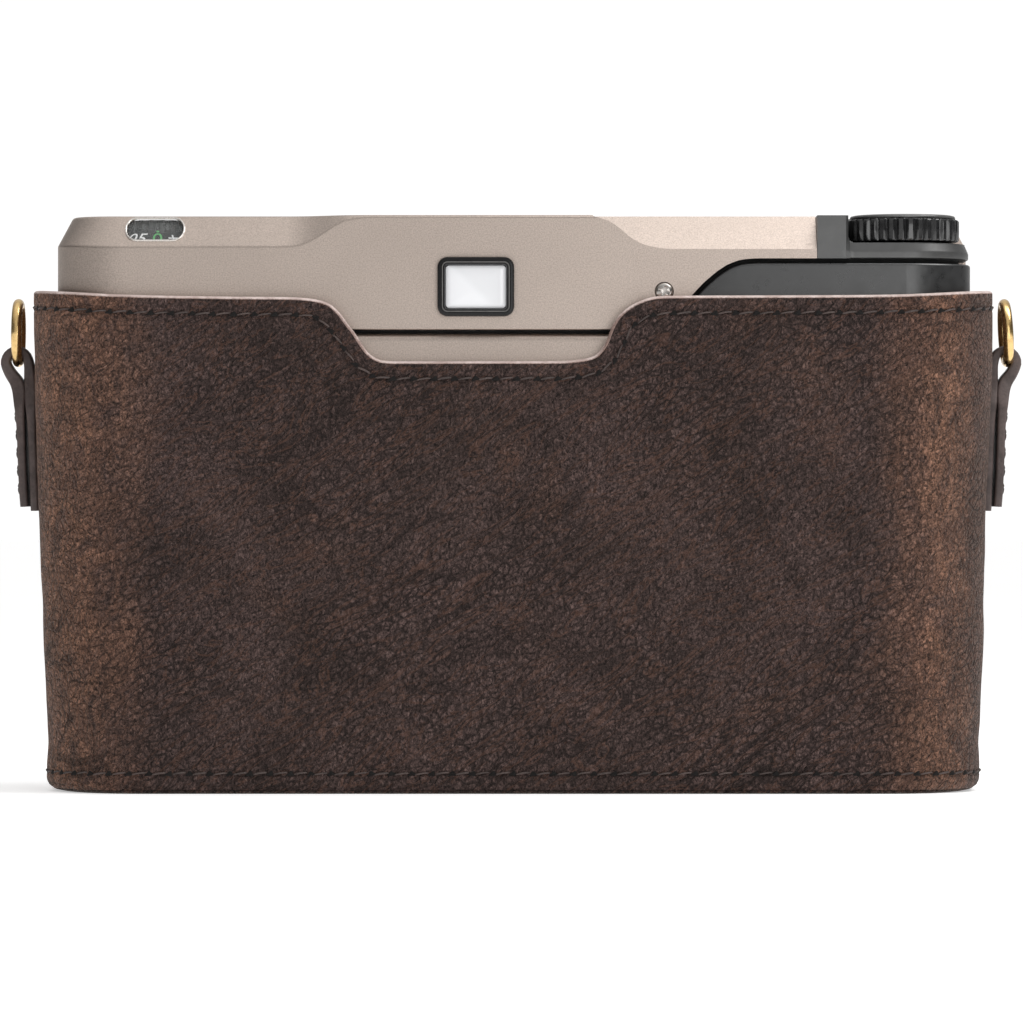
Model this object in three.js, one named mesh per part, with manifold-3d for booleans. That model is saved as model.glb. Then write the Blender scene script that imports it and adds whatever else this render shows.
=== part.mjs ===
// Half frame camera standing in a leather half case. Millimetres, +Z up, z = 0 on the case's underside.
// The lens looks along -Y, the camera's back faces +Y, and the camera's right-hand end is at -X.
import * as THREE from "three";
import { mergeVertices } from "three/addons/utils/BufferGeometryUtils.js";
import Module from "manifold-3d";

// ---- driving dimensions -------------------------------------------------------------------------
const TOP_Z = 82.2; // top plate
const BOTTOM_Z = 5.3; // underside of the camera
const SPLIT_Z = 65.2; // top edge of the back door
const REAR_Y = 15.2;
const FRONT_Y = -15.0;
const CREASE_Z = 77.6; // lower edge of the shoulder bevel
const BEVEL_IN = 5.0; // depth of the shoulder bevel along Y
const BODY_HALF = [ // half width of the camera against height
  [BOTTOM_Z, 64.0], [8.75, 64.2], [40, 65.4], [62, 65.8], [CREASE_Z, 65.8], [TOP_Z, 63.8],
];
const CASE_HALF = [[0, 66.9], [2.6, 67.2], [6, 67.05], [13, 67.3], [27.3, 67.8], [36, 68.2], [71.2, 69.15]];
const WALL = 2.6; // case leather
const SKIN = 1.35; // camera's metal skin
const LENS_X = 2, LENS_Z = 40; // lens axis
const GATE_W = 18, GATE_H = 24; // half frame picture
const EYE_X = 5.4, EYE_Z = 72.1;
const COMP_X = 51.0, COMP_Y = 3.0; // compensation dial
const DIAL_X = -56.0, DIAL_Y = 6.3, DIAL_R = 8.05, DIAL_RIBS = 36;
const RING_R = 4.2, WIRE_R = 0.75, RING_X = 71.75, HINGE_Z = 61.9;
const TRIPOD_R = 3.05, TRIPOD_X = -16, TRIPOD_Y = 0;
const BATTERY_X = 31, BATTERY_Y = -5.6, BATTERY_R = 7.75;
const GAP = 0.3;

// ---- helpers ------------------------------------------------------------------------------------
const wasm = await Module();
wasm.setup();
const solid = (g) => {
  const h = g.clone();
  h.deleteAttribute("normal");
  h.deleteAttribute("uv");
  const m = mergeVertices(h, 1e-4);
  return new wasm.Manifold(new wasm.Mesh({
    numProp: 3,
    vertProperties: new Float32Array(m.attributes.position.array),
    triVerts: new Uint32Array(m.index.array),
  }));
};
const at = (table, z) => {
  if (z <= table[0][0]) return table[0][1];
  for (let i = 1; i < table.length; i++)
    if (z <= table[i][0]) {
      const [a, va] = table[i - 1], [b, vb] = table[i];
      return va + ((vb - va) * (z - a)) / (b - a);
    }
  return table[table.length - 1][1];
};
const box = (x0, x1, y0, y1, z0, z1) => {
  const g = new THREE.BoxGeometry(x1 - x0, y1 - y0, z1 - z0);
  g.translate((x0 + x1) / 2, (y0 + y1) / 2, (z0 + z1) / 2);
  return solid(g);
};
// outline of a rectangle with rounded corners: front corners rf, rear corners rr
const outline = (x0, x1, y0, y1, rf, rr = rf, n = 5) => {
  const p = [];
  const arc = (cx, cy, r, a0) => {
    for (let i = 0; i <= n; i++) {
      const a = a0 + (i * Math.PI) / 2 / n;
      p.push([cx + r * Math.cos(a), cy + r * Math.sin(a)]);
    }
  };
  arc(x1 - rr, y1 - rr, rr, 0);
  arc(x0 + rr, y1 - rr, rr, Math.PI / 2);
  arc(x0 + rf, y0 + rf, rf, Math.PI);
  arc(x1 - rf, y0 + rf, rf, 1.5 * Math.PI);
  return p;
};
// rings of equal length, one above another, closed by flat caps
const loft = (rings) => {
  const n = rings[0].pts.length, pos = [], idx = [];
  rings.forEach((r) => r.pts.forEach(([x, y]) => pos.push(x, y, r.z)));
  for (let k = 0; k + 1 < rings.length; k++)
    for (let i = 0; i < n; i++) {
      const j = (i + 1) % n, a = k * n + i, b = k * n + j, c = a + n, d = b + n;
      idx.push(a, b, d, a, d, c);
    }
  const cap = (r) => THREE.ShapeUtils.triangulateShape(r.pts.map(([x, y]) => new THREE.Vector2(x, y)), []);
  cap(rings[0]).forEach(([a, b, c]) => idx.push(a, c, b));
  const off = (rings.length - 1) * n;
  cap(rings[rings.length - 1]).forEach(([a, b, c]) => idx.push(a + off, b + off, c + off));
  const g = new THREE.BufferGeometry();
  g.setAttribute("position", new THREE.BufferAttribute(new Float32Array(pos), 3));
  g.setIndex(idx);
  return solid(g);
};
// polygon extruded along an axis; the polygon is (x, y) for Z, (x, z) for Y and (y, z) for X
const prism = (pts, axis, from, to) => {
  const s = new THREE.Shape(pts.map(([x, y]) => new THREE.Vector2(x, y)));
  const g = new THREE.ExtrudeGeometry(s, { depth: to - from, bevelEnabled: false, curveSegments: 1 });
  if (axis === "Z") g.translate(0, 0, from);
  if (axis === "Y") {
    g.rotateX(Math.PI / 2);
    g.translate(0, to, 0);
  }
  if (axis === "X") {
    g.applyMatrix4(new THREE.Matrix4().makeBasis(
      new THREE.Vector3(0, 1, 0), new THREE.Vector3(0, 0, 1), new THREE.Vector3(1, 0, 0)));
    g.translate(from, 0, 0);
  }
  return solid(g);
};
const disc = (r, n = 32, phase = 0) =>
  Array.from({ length: n }, (_, i) => {
    const a = ((i + phase) / n) * 2 * Math.PI;
    return [r * Math.cos(a), r * Math.sin(a)];
  });
const shift = (pts, dx, dy) => pts.map(([x, y]) => [x + dx, y + dy]);
const cylZ = (x, y, r, z0, z1, n = 32) => prism(shift(disc(r, n), x, y), "Z", z0, z1);
const cylY = (x, z, r, y0, y1, n = 32) => prism(shift(disc(r, n), x, z), "Y", y0, y1);
const cylX = (y, z, r, x0, x1, n = 24) => prism(shift(disc(r, n), y, z), "X", x0, x1);
// star-shaped outline of a knurled rim
const knurl = (r, depth, ribs) => {
  const p = [];
  for (let i = 0; i < ribs; i++)
    for (const [t, q] of [[0.08, r], [0.5, r], [0.62, r - depth], [0.96, r - depth]]) {
      const a = ((i + t) / ribs) * 2 * Math.PI;
      p.push([q * Math.cos(a), q * Math.sin(a)]);
    }
  return p;
};
// closed profile of (radius, height) points turned about a vertical axis
const turn = (profile, n = 32) => {
  const g = new THREE.LatheGeometry([...profile, profile[0]].map(([r, z]) => new THREE.Vector2(r, z)), n);
  const h = g.clone().rotateX(Math.PI / 2);
  let m;
  try { m = solid(h); } catch (e) { m = null; }
  if (!m || m.volume() < 0) {
    const b = new THREE.LatheGeometry([...profile, profile[0]].reverse().map(([r, z]) => new THREE.Vector2(r, z)), n);
    m = solid(b.rotateX(Math.PI / 2));
  }
  return m;
};
// the same, about the lens axis: heights are measured along +Y
const turnY = (profile, n = 32) =>
  turn(profile, n).rotate([-90, 0, 0]).translate([LENS_X, 0, LENS_Z]);
const group = new THREE.Group();
const COLOURS = {
  titanium: 0xbeb0a6, black: 0x323434, leather: 0x3c2d28, tab: 0x554644, brass: 0xbe9646, glass: 0xdfe6e6,
  steel: 0xa8a8a8, rubber: 0x222222, pad: 0x6b5140, board: 0x2f5b3a,
};
const add = (name, m, colour) => {
  const mesh = m.getMesh(), n = mesh.numProp;
  const v = new Float32Array(mesh.numVert * 3);
  for (let i = 0; i < mesh.numVert; i++) v.set(mesh.vertProperties.subarray(i * n, i * n + 3), i * 3);
  const g = new THREE.BufferGeometry();
  g.setAttribute("position", new THREE.BufferAttribute(v, 3));
  g.setIndex(new THREE.BufferAttribute(new Uint32Array(mesh.triVerts), 1));
  g.computeVertexNormals();
  const o = new THREE.Mesh(g, new THREE.MeshStandardMaterial({ color: COLOURS[colour], flatShading: true }));
  o.name = name;
  group.add(o);
};

// ---- camera body envelope -----------------------------------------------------------------------
const bodyRing = (z, off = 0, rear = REAR_Y) => {
  const h = at(BODY_HALF, z) - off;
  return { z, pts: outline(-h, h, FRONT_Y + off, rear - off, 10 - off, 10 - off) };
};
const envelope = (z0, z1, off = 0) => {
  const zs = [z0, ...BODY_HALF.map((b) => b[0]).filter((z) => z > z0 + 0.05 && z < z1 - 0.05), z1];
  return loft(zs.map((z) => bodyRing(z, off)));
};
const everywhere = (x0, x1, z0, z1) => box(x0, x1, -80, 80, z0, z1);

// ---- half case ----------------------------------------------------------------------------------
const caseRing = (z, off = 0) => {
  const h = at(CASE_HALF, z) - off;
  const y = 18.0 + (0.4 * z) / 71 - off;
  return { z, pts: outline(-h, h, -y, y, 12.6 - off, 12.6 - off, 6) };
};
{
  const outer = loft([2.6, 6, 13, 27.3, 36, 71.2].map((z) => caseRing(z)));
  const inner = loft([2.5, 6, 13, 27.3, 36, 71.3].map((z) => caseRing(z, WALL)));
  // rear dip that clears the back door's top and the eyepiece
  const dip = prism([
    [30.4, 71.6], [30.2, 71.0], [26.2, 69.9], [24.6, 68.4], [23.4, 66.8], [21.7, 64.3], [20.8, 62.9], [19.6, 61.9],
    [17.9, 61.65], [-8.2, 61.65], [-11.1, 62.2], [-12.3, 62.9], [-13.3, 64.2], [-14.1, 66.5], [-15.0, 68.0],
    [-16.3, 69.2], [-18.0, 70.1], [-19.9, 70.7], [-20.2, 71.6],
  ].reverse(), "Y", 12, 20);
  // front cut-out for the lens, open at the top
  const u = [[LENS_X + 33.5, 72], [LENS_X - 33.5, 72], [LENS_X - 32.4, 62]];
  for (let i = 0; i <= 14; i++) {
    const a = Math.PI + (i * Math.PI) / 14;
    u.push([LENS_X + 30.2 * Math.cos(a), LENS_Z + 2.5 + 29 * Math.sin(a)]);
  }
  u.push([LENS_X + 32.4, 62]);
  const lensCut = prism(u, "Y", -20, -12);
  add("case_wall", outer.subtract(inner).subtract(dip).subtract(lensCut).subtract(box(-80, 80, -30, 30, 70.95, 80)), "leather");
  const screwHole = cylZ(TRIPOD_X, TRIPOD_Y, 8.6, -1, 3);
  add("case_base", loft([0, 0.7, 2.3].map((z) => {
    const r = caseRing(z);
    return { z, pts: outline(-(67.3 - (z < 0.5 ? 0.5 : 0)), 67.3 - (z < 0.5 ? 0.5 : 0), -18.4 + (z < 0.5 ? 0.5 : 0), 18.4 - (z < 0.5 ? 0.5 : 0), 12.6, 12.6, 6) };
  })).subtract(screwHole), "leather");
  const padRing = (z) => ({ z, pts: outline(-63.8, 63.8, -14.8, 14.8, 9.6, 9.6, 4) });
  add("case_pad", loft([2.6, 5.0].map(padRing)).subtract(cylZ(TRIPOD_X, TRIPOD_Y, 3.5, 2, 6, 20)), "pad");
  const slot = box(TRIPOD_X - 6.2, TRIPOD_X + 6.2, TRIPOD_Y - 0.7, TRIPOD_Y + 0.7, -1, 1.1);
  add("case_screw", prism(shift(knurl(8.2, 0.35, 24), TRIPOD_X, TRIPOD_Y), "Z", 0.3, 2.3)
    .add(cylZ(TRIPOD_X, TRIPOD_Y, TRIPOD_R, 2.2, 10.6, 24)).subtract(slot), "steel");
}
// ---- strap tabs and rings -----------------------------------------------------------------------
for (const [side, s] of [["left", 1], ["right", -1]]) {
  const X = (x) => s * x;
  const flip = (pts) => (s > 0 ? pts : pts.map(([x, z]) => [-x, z]).reverse());
  // folded strap: two layers against the case's end, then a loop round the ring's wire
  const strap = prism(flip([[69.3, 59.9], [68.72, 40.3], [71.2, 40.3], [71.9, 59.3]]), "Y", -4, 4);
  const neck = prism(flip([[69.3, 58.1], [71.85, 58.1], [74.1, 61.5], [74.1, 62.3], [69.4, 62.3], [69.4, 59.3]]), "Y", -1.75, 1.75);
  const loop = prism(shift(disc(2.4, 20), X(RING_X), HINGE_Z), "Y", -1.75, 1.75);
  const eye = prism(shift(disc(1.45, 16), X(RING_X), HINGE_Z), "Y", -3, 3);
  add("tab_" + side, strap.add(neck).add(loop).subtract(eye), "tab");
  const t = new THREE.TorusGeometry(RING_R, WIRE_R, 8, 28);
  t.rotateY(Math.PI / 2);
  t.translate(X(RING_X), 0, HINGE_Z + RING_R);
  add("ring_" + side, solid(t), "brass");
}
// ---- lower body ---------------------------------------------------------------------------------
add("bottom_cover", envelope(BOTTOM_Z, 8.6)
  .subtract(cylZ(TRIPOD_X, TRIPOD_Y, TRIPOD_R + 0.25, 0, 12, 24))
  .subtract(cylZ(BATTERY_X, BATTERY_Y, 8.9, 0, 12)), "titanium");
add("battery_cap", cylZ(BATTERY_X, BATTERY_Y, 8.6, 5.6, 8.4).subtract(box(BATTERY_X - 6, BATTERY_X + 6, BATTERY_Y - 0.8, BATTERY_Y + 0.8, 5, 6.6)), "titanium");
add("front_shell", envelope(8.9, 64.9).subtract(envelope(8.8, 65, SKIN))
  .subtract(box(-80, 80, 11.6, 30, 0, 80))
  .subtract(cylY(LENS_X, LENS_Z, 19.4, -20, -10))
  .subtract(cylY(29.7, 53, 2.2, -20, -10, 20))
  .subtract(box(-80, -58.6, -3.3, 30, 0, 80))
  .subtract(box(-56.4, -25.2, -20, -14.3, 11.7, 62.3))
  .subtract(box(60, 80, -2.2, 2.2, 29, 45)), "titanium");
add("door_latch", box(63.8, 64.9, -1.9, 1.9, 30, 40).add(box(64.7, 65.3, -1.9, 1.9, 33, 37)), "black");
// back door with its raised part behind the thumb panel
const THUMB = [ // edge of the thumb panel against the metal, seen from behind
  [-24.4, 8.0], [-24.4, 71.0], [-27.2, 73.5], [-30.0, 75.0], [-33.4, 75.5], [-70, 75.5], [-70, 8.0],
];
const rearSlab = (z1) => envelope(8.9, z1).intersect(box(-80, 80, 11.9, 30, 0, 90));
add("back_door", rearSlab(SPLIT_Z).intersect(box(-24.1, 80, 0, 30, 0, 90))
  .add(rearSlab(SPLIT_Z).intersect(box(-58, -24, 0, 13.2, 0, 90))), "titanium");
{
  const edge = prism(THUMB.map((p) => p), "Y", 0, 30);
  const wrap = envelope(8.9, 75.5).intersect(box(-80, 80, 11.9, 30, 0, 90));
  const panel = wrap.intersect(edge.translate([0, 0, 0]));
  // the panel's outer edge carries on round the camera's end as a thin skin
  const end = envelope(8.9, 75.5).subtract(envelope(8.8, 75.6, SKIN)).intersect(box(-80, -60.3, -3, 12.5, 0, 90));
  add("thumb_panel", panel.subtract(box(-58.3, -20, 0, 13.5, 0, 90)).add(end), "black");
}
add("pressure_plate", box(LENS_X - 17, LENS_X + 17, 11.45, 11.75, 24, 56), "black");
// ---- top cover ----------------------------------------------------------------------------------
const bevelWedge = (drop, x0, x1, grow) => {
  // everything behind and above the sloping shoulder
  const z = CREASE_Z - drop, k = (TOP_Z - CREASE_Z) / BEVEL_IN;
  return prism([[REAR_Y + 2, z - 2 * k], [REAR_Y + 2, z + 12], [REAR_Y - BEVEL_IN - 4 / k, z + 12], [REAR_Y - BEVEL_IN - 4 / k, z + (BEVEL_IN + 4 / k) * k]], "X", x0 - grow, x1 + grow);
};
{
  const z0 = 65.5;
  let cover = envelope(z0, TOP_Z);
  // ends of the two shoulders sweep up to the finder's flat back
  const leftEnd = prism([[80, 70], [80, 90], [22, 90], [22, 82.2], [24, 82.3], [26.5, 81.4], [28.3, 79.8], [29.8, 78.5], [31.6, 77.6], [34, 70]].reverse(), "Y", -30, 30);
  const rightEnd = prism([[-80, 70], [-80, 90], [-11, 90], [-11.9, 82.1], [-14.1, 81.4], [-15.5, 80.4], [-16.9, 79.2], [-18.6, 78.2], [-20.7, 77.7], [-22.5, 77.5], [-25, 70]], "Y", -30, 30);
  const left = bevelWedge(0, 20, 80, 0).intersect(leftEnd);
  const right = bevelWedge(0, -80, -10, 0).intersect(rightEnd);
  cover = cover.subtract(left).subtract(right);
  // hollow, with the same slopes on the inside
  let hollow = loft([z0 - 0.1, CREASE_Z - 0.4, TOP_Z - SKIN].map((z) => bodyRing(Math.min(z, CREASE_Z), SKIN + (z > CREASE_Z ? 1.2 : 0))).map((r, i) => ({ z: [z0 - 0.1, CREASE_Z - 0.4, TOP_Z - SKIN][i], pts: r.pts })));
  hollow = hollow.subtract(bevelWedge(1.8, 20, 80, 0).intersect(box(21.5, 90, -30, 30, 60, 90)))
    .subtract(bevelWedge(1.8, -80, -8, 0));
  cover = cover.subtract(hollow);
  // the black end, the thumb panel's top and the windows
  cover = cover.subtract(box(-80, -42.8, -3.3, 30, 75.9, 90)).subtract(box(-80, -60, -3.3, 30, 60, 76));
  cover = cover.subtract(prism([[-24.1, 60], [-24.1, 71.15], [-27.0, 73.75], [-29.9, 75.3], [-33.4, 75.85], [-80, 75.85], [-80, 60]], "Y", 11.6, 30));
  cover = cover.subtract(box(EYE_X - 5.2, EYE_X + 5.2, 5, 30, EYE_Z - 3.9, EYE_Z + 3.9));
  cover = cover.subtract(box(EYE_X - 6.2, EYE_X + 6.2, -30, -10, 68.6, 76.2));
  cover = cover.subtract(box(-16.2, -8.8, -30, -10, 69.6, 75.2)).subtract(box(21.8, 29.2, -30, -10, 69.6, 75.2));
  cover = cover.subtract(cylY(-30, 72.2, 1.9, -20, -10, 20));
  cover = cover.subtract(cylZ(COMP_X, COMP_Y, 6.5, 78, 90));
  cover = cover.subtract(cylZ(-30, -4, 7.1, 78, 90));
  cover = cover.subtract(cylZ(-56, -9.2, 3.3, 78, 90, 24));
  cover = cover.subtract(box(-18.2, -7.8, -9.2, -2.8, 78, 90));
  cover = cover.subtract(cylY(-21.4, 71.4, 0.75, 10, 30, 12));
  // compensation window, cut square to the sloping shoulder
  const win = prism(shift(outline(-4.05, 4.05, -2.35, 2.35, 2.2, 2.2, 4), 0, 0), "Z", -3, 3)
    .rotate([-((Math.atan2(TOP_Z - CREASE_Z, BEVEL_IN) * 180) / Math.PI), 0, 0]).translate([COMP_X + 0.2, REAR_Y - BEVEL_IN / 2 - 0.3, 80.0]);
  cover = cover.subtract(win);
  add("top_cover", cover, "titanium");
  // window pane just under the shoulder's surface, inside the cut
  const pane = prism(outline(-3.75, 3.75, -2.05, 2.05, 1.9, 1.9, 4), "Z", -1.1, -0.35)
    .rotate([-((Math.atan2(TOP_Z - CREASE_Z, BEVEL_IN) * 180) / Math.PI), 0, 0]).translate([COMP_X + 0.2, REAR_Y - BEVEL_IN / 2 - 0.3, 80.0]);
  add("comp_window", pane, "glass");
}
{
  // drum whose conical rim lies under the window, and its knob set in the top plate
  const k = BEVEL_IN / (TOP_Z - CREASE_Z);
  const r0 = REAR_Y - COMP_Y - 0.6, zLow = CREASE_Z - 2.2;
  const rMax = 10.5, zCone = zLow + (r0 - rMax) / k;
  add("comp_drum", turn([[0, zLow], [rMax, zLow], [rMax, zCone], [r0 - 4.2 * k, zLow + 4.2], [0, zLow + 4.2]], 36).translate([COMP_X, COMP_Y, 0]), "black");
  add("comp_knob", prism(shift(knurl(6.2, 0.3, 24), COMP_X, COMP_Y), "Z", 80.2, 82.1), "black");
}
add("eyepiece_frame", prism(shift(outline(-5.5, 5.5, -4.15, 4.15, 1.4, 1.4, 4), EYE_X, EYE_Z), "Y", 15.5, 16.5)
  .add(box(EYE_X - 4.9, EYE_X + 4.9, 12.9, 15.6, EYE_Z - 3.6, EYE_Z + 3.6))
  .subtract(box(EYE_X - 4.25, EYE_X + 4.25, 12, 17, EYE_Z - 3.0, EYE_Z + 3.0)), "black");
add("eyepiece_glass", box(EYE_X - 4.0, EYE_X + 4.0, 14.6, 15.8, EYE_Z - 2.8, EYE_Z + 2.8), "glass");
add("rear_screw", turn([[0, 15.3], [1.35, 15.3], [1.3, 15.5], [0.9, 15.7], [0, 15.7]], 20).add(cylZ(0, 0, 0.45, 12.4, 15.4, 12))
  .rotate([-90, 0, 0]).translate([-21.4, 0, 71.4]), "steel");
// ---- black end and thumb dial -------------------------------------------------------------------
{
  let h = envelope(76.2, TOP_Z).intersect(box(-80, -43.1, -3.0, 30, 0, 90));
  h = h.subtract(bevelWedge(0, -80, -60, 0).intersect(box(-43, 0, 0, 1, 0, 1)));
  h = h.subtract(cylZ(DIAL_X, DIAL_Y, 8.5, 78.4, 90)).subtract(box(-80, -48.3, DIAL_Y, 30, 78.4, 90)).subtract(box(-80, DIAL_X, DIAL_Y - 7.0, 30, 78.4, 90));
  h = h.subtract(cylZ(DIAL_X, DIAL_Y, 2.3, 77, 79, 20));
  add("dial_housing", h, "black");
  add("thumb_dial", prism(shift(knurl(DIAL_R, 0.35, DIAL_RIBS), DIAL_X, DIAL_Y), "Z", 78.7, 81.7).add(cylZ(DIAL_X, DIAL_Y, 2.0, 77.2, 78.8, 20)), "black");
  add("dial_cap", turn([[0, 81.9], [7.6, 81.9], [7.6, 82.25], [7.1, 82.5], [0, 82.5]], 32).translate([DIAL_X, DIAL_Y, 0]), "black");
}
// ---- top controls -------------------------------------------------------------------------------
add("shutter_dial", prism(shift(knurl(6.8, 0.3, 24), -30, -4), "Z", 81.2, 82.8).add(cylZ(-30, -4, 4, 79.5, 81.3, 20)), "titanium");
add("power_switch", turn([[3.5, 82.5], [5.6, 82.5], [5.4, 83.0], [3.5, 83.0]], 32).add(box(5.0, 8.0, -1.0, 1.0, 82.5, 83.0)).translate([-56, -9.2, 0]), "black");
add("shutter_button", cylZ(-56, -9.2, 3.0, 79.2, 83.3, 24), "steel");
add("counter_window", box(-18, -8, -9, -3, 80.9, 82.0), "glass");
// ---- front --------------------------------------------------------------------------------------
add("finder_window", box(EYE_X - 6, EYE_X + 6, -14.8, -13.9, 68.8, 76.0), "glass");
add("range_window_inner", box(-16, -9, -14.8, -13.9, 69.8, 75.0), "glass");
add("range_window_outer", box(22, 29, -14.8, -13.9, 69.8, 75.0), "glass");
add("timer_lamp", cylY(-30, 72.2, 1.65, -15.4, -13.9, 16), "glass");
add("release_button", cylY(29.7, 53, 1.9, -16.6, -13.0, 20), "black");
add("grip_skin", box(-56.1, -25.5, -15.1, -14.6, 12, 62), "rubber");
// ---- lens ---------------------------------------------------------------------------------------
add("lens_mount", turnY([[19.0, -17.3], [24.8, -17.3], [25.2, -16.9], [25.2, -15.3], [19.0, -15.3]]), "steel");
add("lens_barrel", turnY([[15.6, -31.0], [17.5, -31.0], [17.5, -21.0], [22.6, -21.0], [22.6, -17.6], [15.6, -17.6]]), "titanium");
add("aperture_ring", turnY([[17.8, -25.0], [22.8, -25.0], [23.2, -24.6], [23.2, -21.7], [22.8, -21.3], [17.8, -21.3]]), "titanium");
{
  const rim = prism(shift(knurl(23.6, 0.4, 24), LENS_X, LENS_Z), "Y", -30.8, -25.3);
  add("focus_ring", rim.subtract(cylY(LENS_X, LENS_Z, 17.8, -40, -20, 40)), "black");
}
add("lens_cell", turnY([[13.2, -33.6], [21.0, -33.6], [21.0, -31.4], [15.3, -31.4], [15.3, -18.0], [13.2, -18.0]]), "black");
add("front_element", turnY([[0, -31.6], [7, -31.1], [12.9, -29.2], [12.9, -27.5], [0, -27.5]]), "glass");
add("rear_element", turnY([[0, -21.5], [12.9, -21.5], [12.9, -19.6], [7, -18.9], [0, -18.6]]), "glass");
add("iris", turnY([[5.0, -24.6], [12.9, -24.6], [12.9, -24.1], [5.0, -24.1]], 18), "black");
// ---- inside -------------------------------------------------------------------------------------
add("chassis", box(-26, 34, 3.5, 11.15, 9.3, 64.6).subtract(box(LENS_X - GATE_W / 2, LENS_X + GATE_W / 2, 0, 14, LENS_Z - GATE_H / 2, LENS_Z + GATE_H / 2)), "black");
add("shutter_unit", box(-20, 21, -0.6, 3.2, 18, 62).subtract(box(LENS_X - GATE_W / 2 - 0.4, LENS_X + GATE_W / 2 + 0.4, -5, 5, LENS_Z - GATE_H / 2 - 0.4, LENS_Z + GATE_H / 2 + 0.4)), "black");
add("take_up_spool", cylZ(-44, 1.5, 7.0, 12.5, 61.5, 24).add(cylZ(-44, 1.5, 2.0, 9.2, 64.4, 16)), "black");
add("sprocket", cylZ(-31.2, 4.4, 2.2, 9.2, 64.4, 16)
  .add(prism(shift(knurl(3.9, 0.7, 8), -31.2, 4.4), "Z", 22.0, 24.4)).add(prism(shift(knurl(3.9, 0.7, 8), -31.2, 4.4), "Z", 55.6, 58.0)), "steel");
add("rewind_fork", cylZ(50, 1, 4.6, 9.2, 11.2, 20).add(box(47, 53, 0.2, 1.8, 11.1, 15)), "steel");
add("drive_motor", cylZ(-57, -6.4, 4.9, 15, 45, 20), "steel");
add("battery", cylZ(BATTERY_X, BATTERY_Y, BATTERY_R, 9.2, 36.2, 28).add(cylZ(BATTERY_X, BATTERY_Y, 3, 36.1, 37, 16)), "steel");
add("circuit_board", box(-40, 40, -12, -5, 66.3, 67.3), "board");
add("finder_block", box(EYE_X - 6.5, EYE_X + 6.5, -12.8, 12.5, 68.4, 75.4), "glass");

export default group;
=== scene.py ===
"""Half frame camera in a stitched leather half case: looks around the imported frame. Millimetres in the helpers, metres in Blender."""
import math

import bpy
import bmesh
import numpy as np
from mathutils import Matrix, Vector, noise


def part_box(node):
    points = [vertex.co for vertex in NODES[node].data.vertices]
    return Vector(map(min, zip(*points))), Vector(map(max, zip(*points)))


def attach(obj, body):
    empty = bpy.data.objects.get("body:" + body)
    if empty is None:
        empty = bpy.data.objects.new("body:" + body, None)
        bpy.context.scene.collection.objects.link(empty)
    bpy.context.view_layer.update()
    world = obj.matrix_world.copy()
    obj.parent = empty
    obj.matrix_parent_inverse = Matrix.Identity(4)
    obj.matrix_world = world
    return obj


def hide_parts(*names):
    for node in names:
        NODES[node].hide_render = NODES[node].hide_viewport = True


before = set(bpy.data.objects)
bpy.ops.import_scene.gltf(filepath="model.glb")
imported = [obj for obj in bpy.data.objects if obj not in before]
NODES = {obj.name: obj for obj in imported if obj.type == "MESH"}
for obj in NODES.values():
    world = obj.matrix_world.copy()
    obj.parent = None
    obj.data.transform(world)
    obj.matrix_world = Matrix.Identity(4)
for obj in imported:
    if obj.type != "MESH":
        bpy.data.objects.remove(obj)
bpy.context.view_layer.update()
MM = 0.001

# ------------------------------------------------------------------------------------------------
# material helpers
# ------------------------------------------------------------------------------------------------


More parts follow.
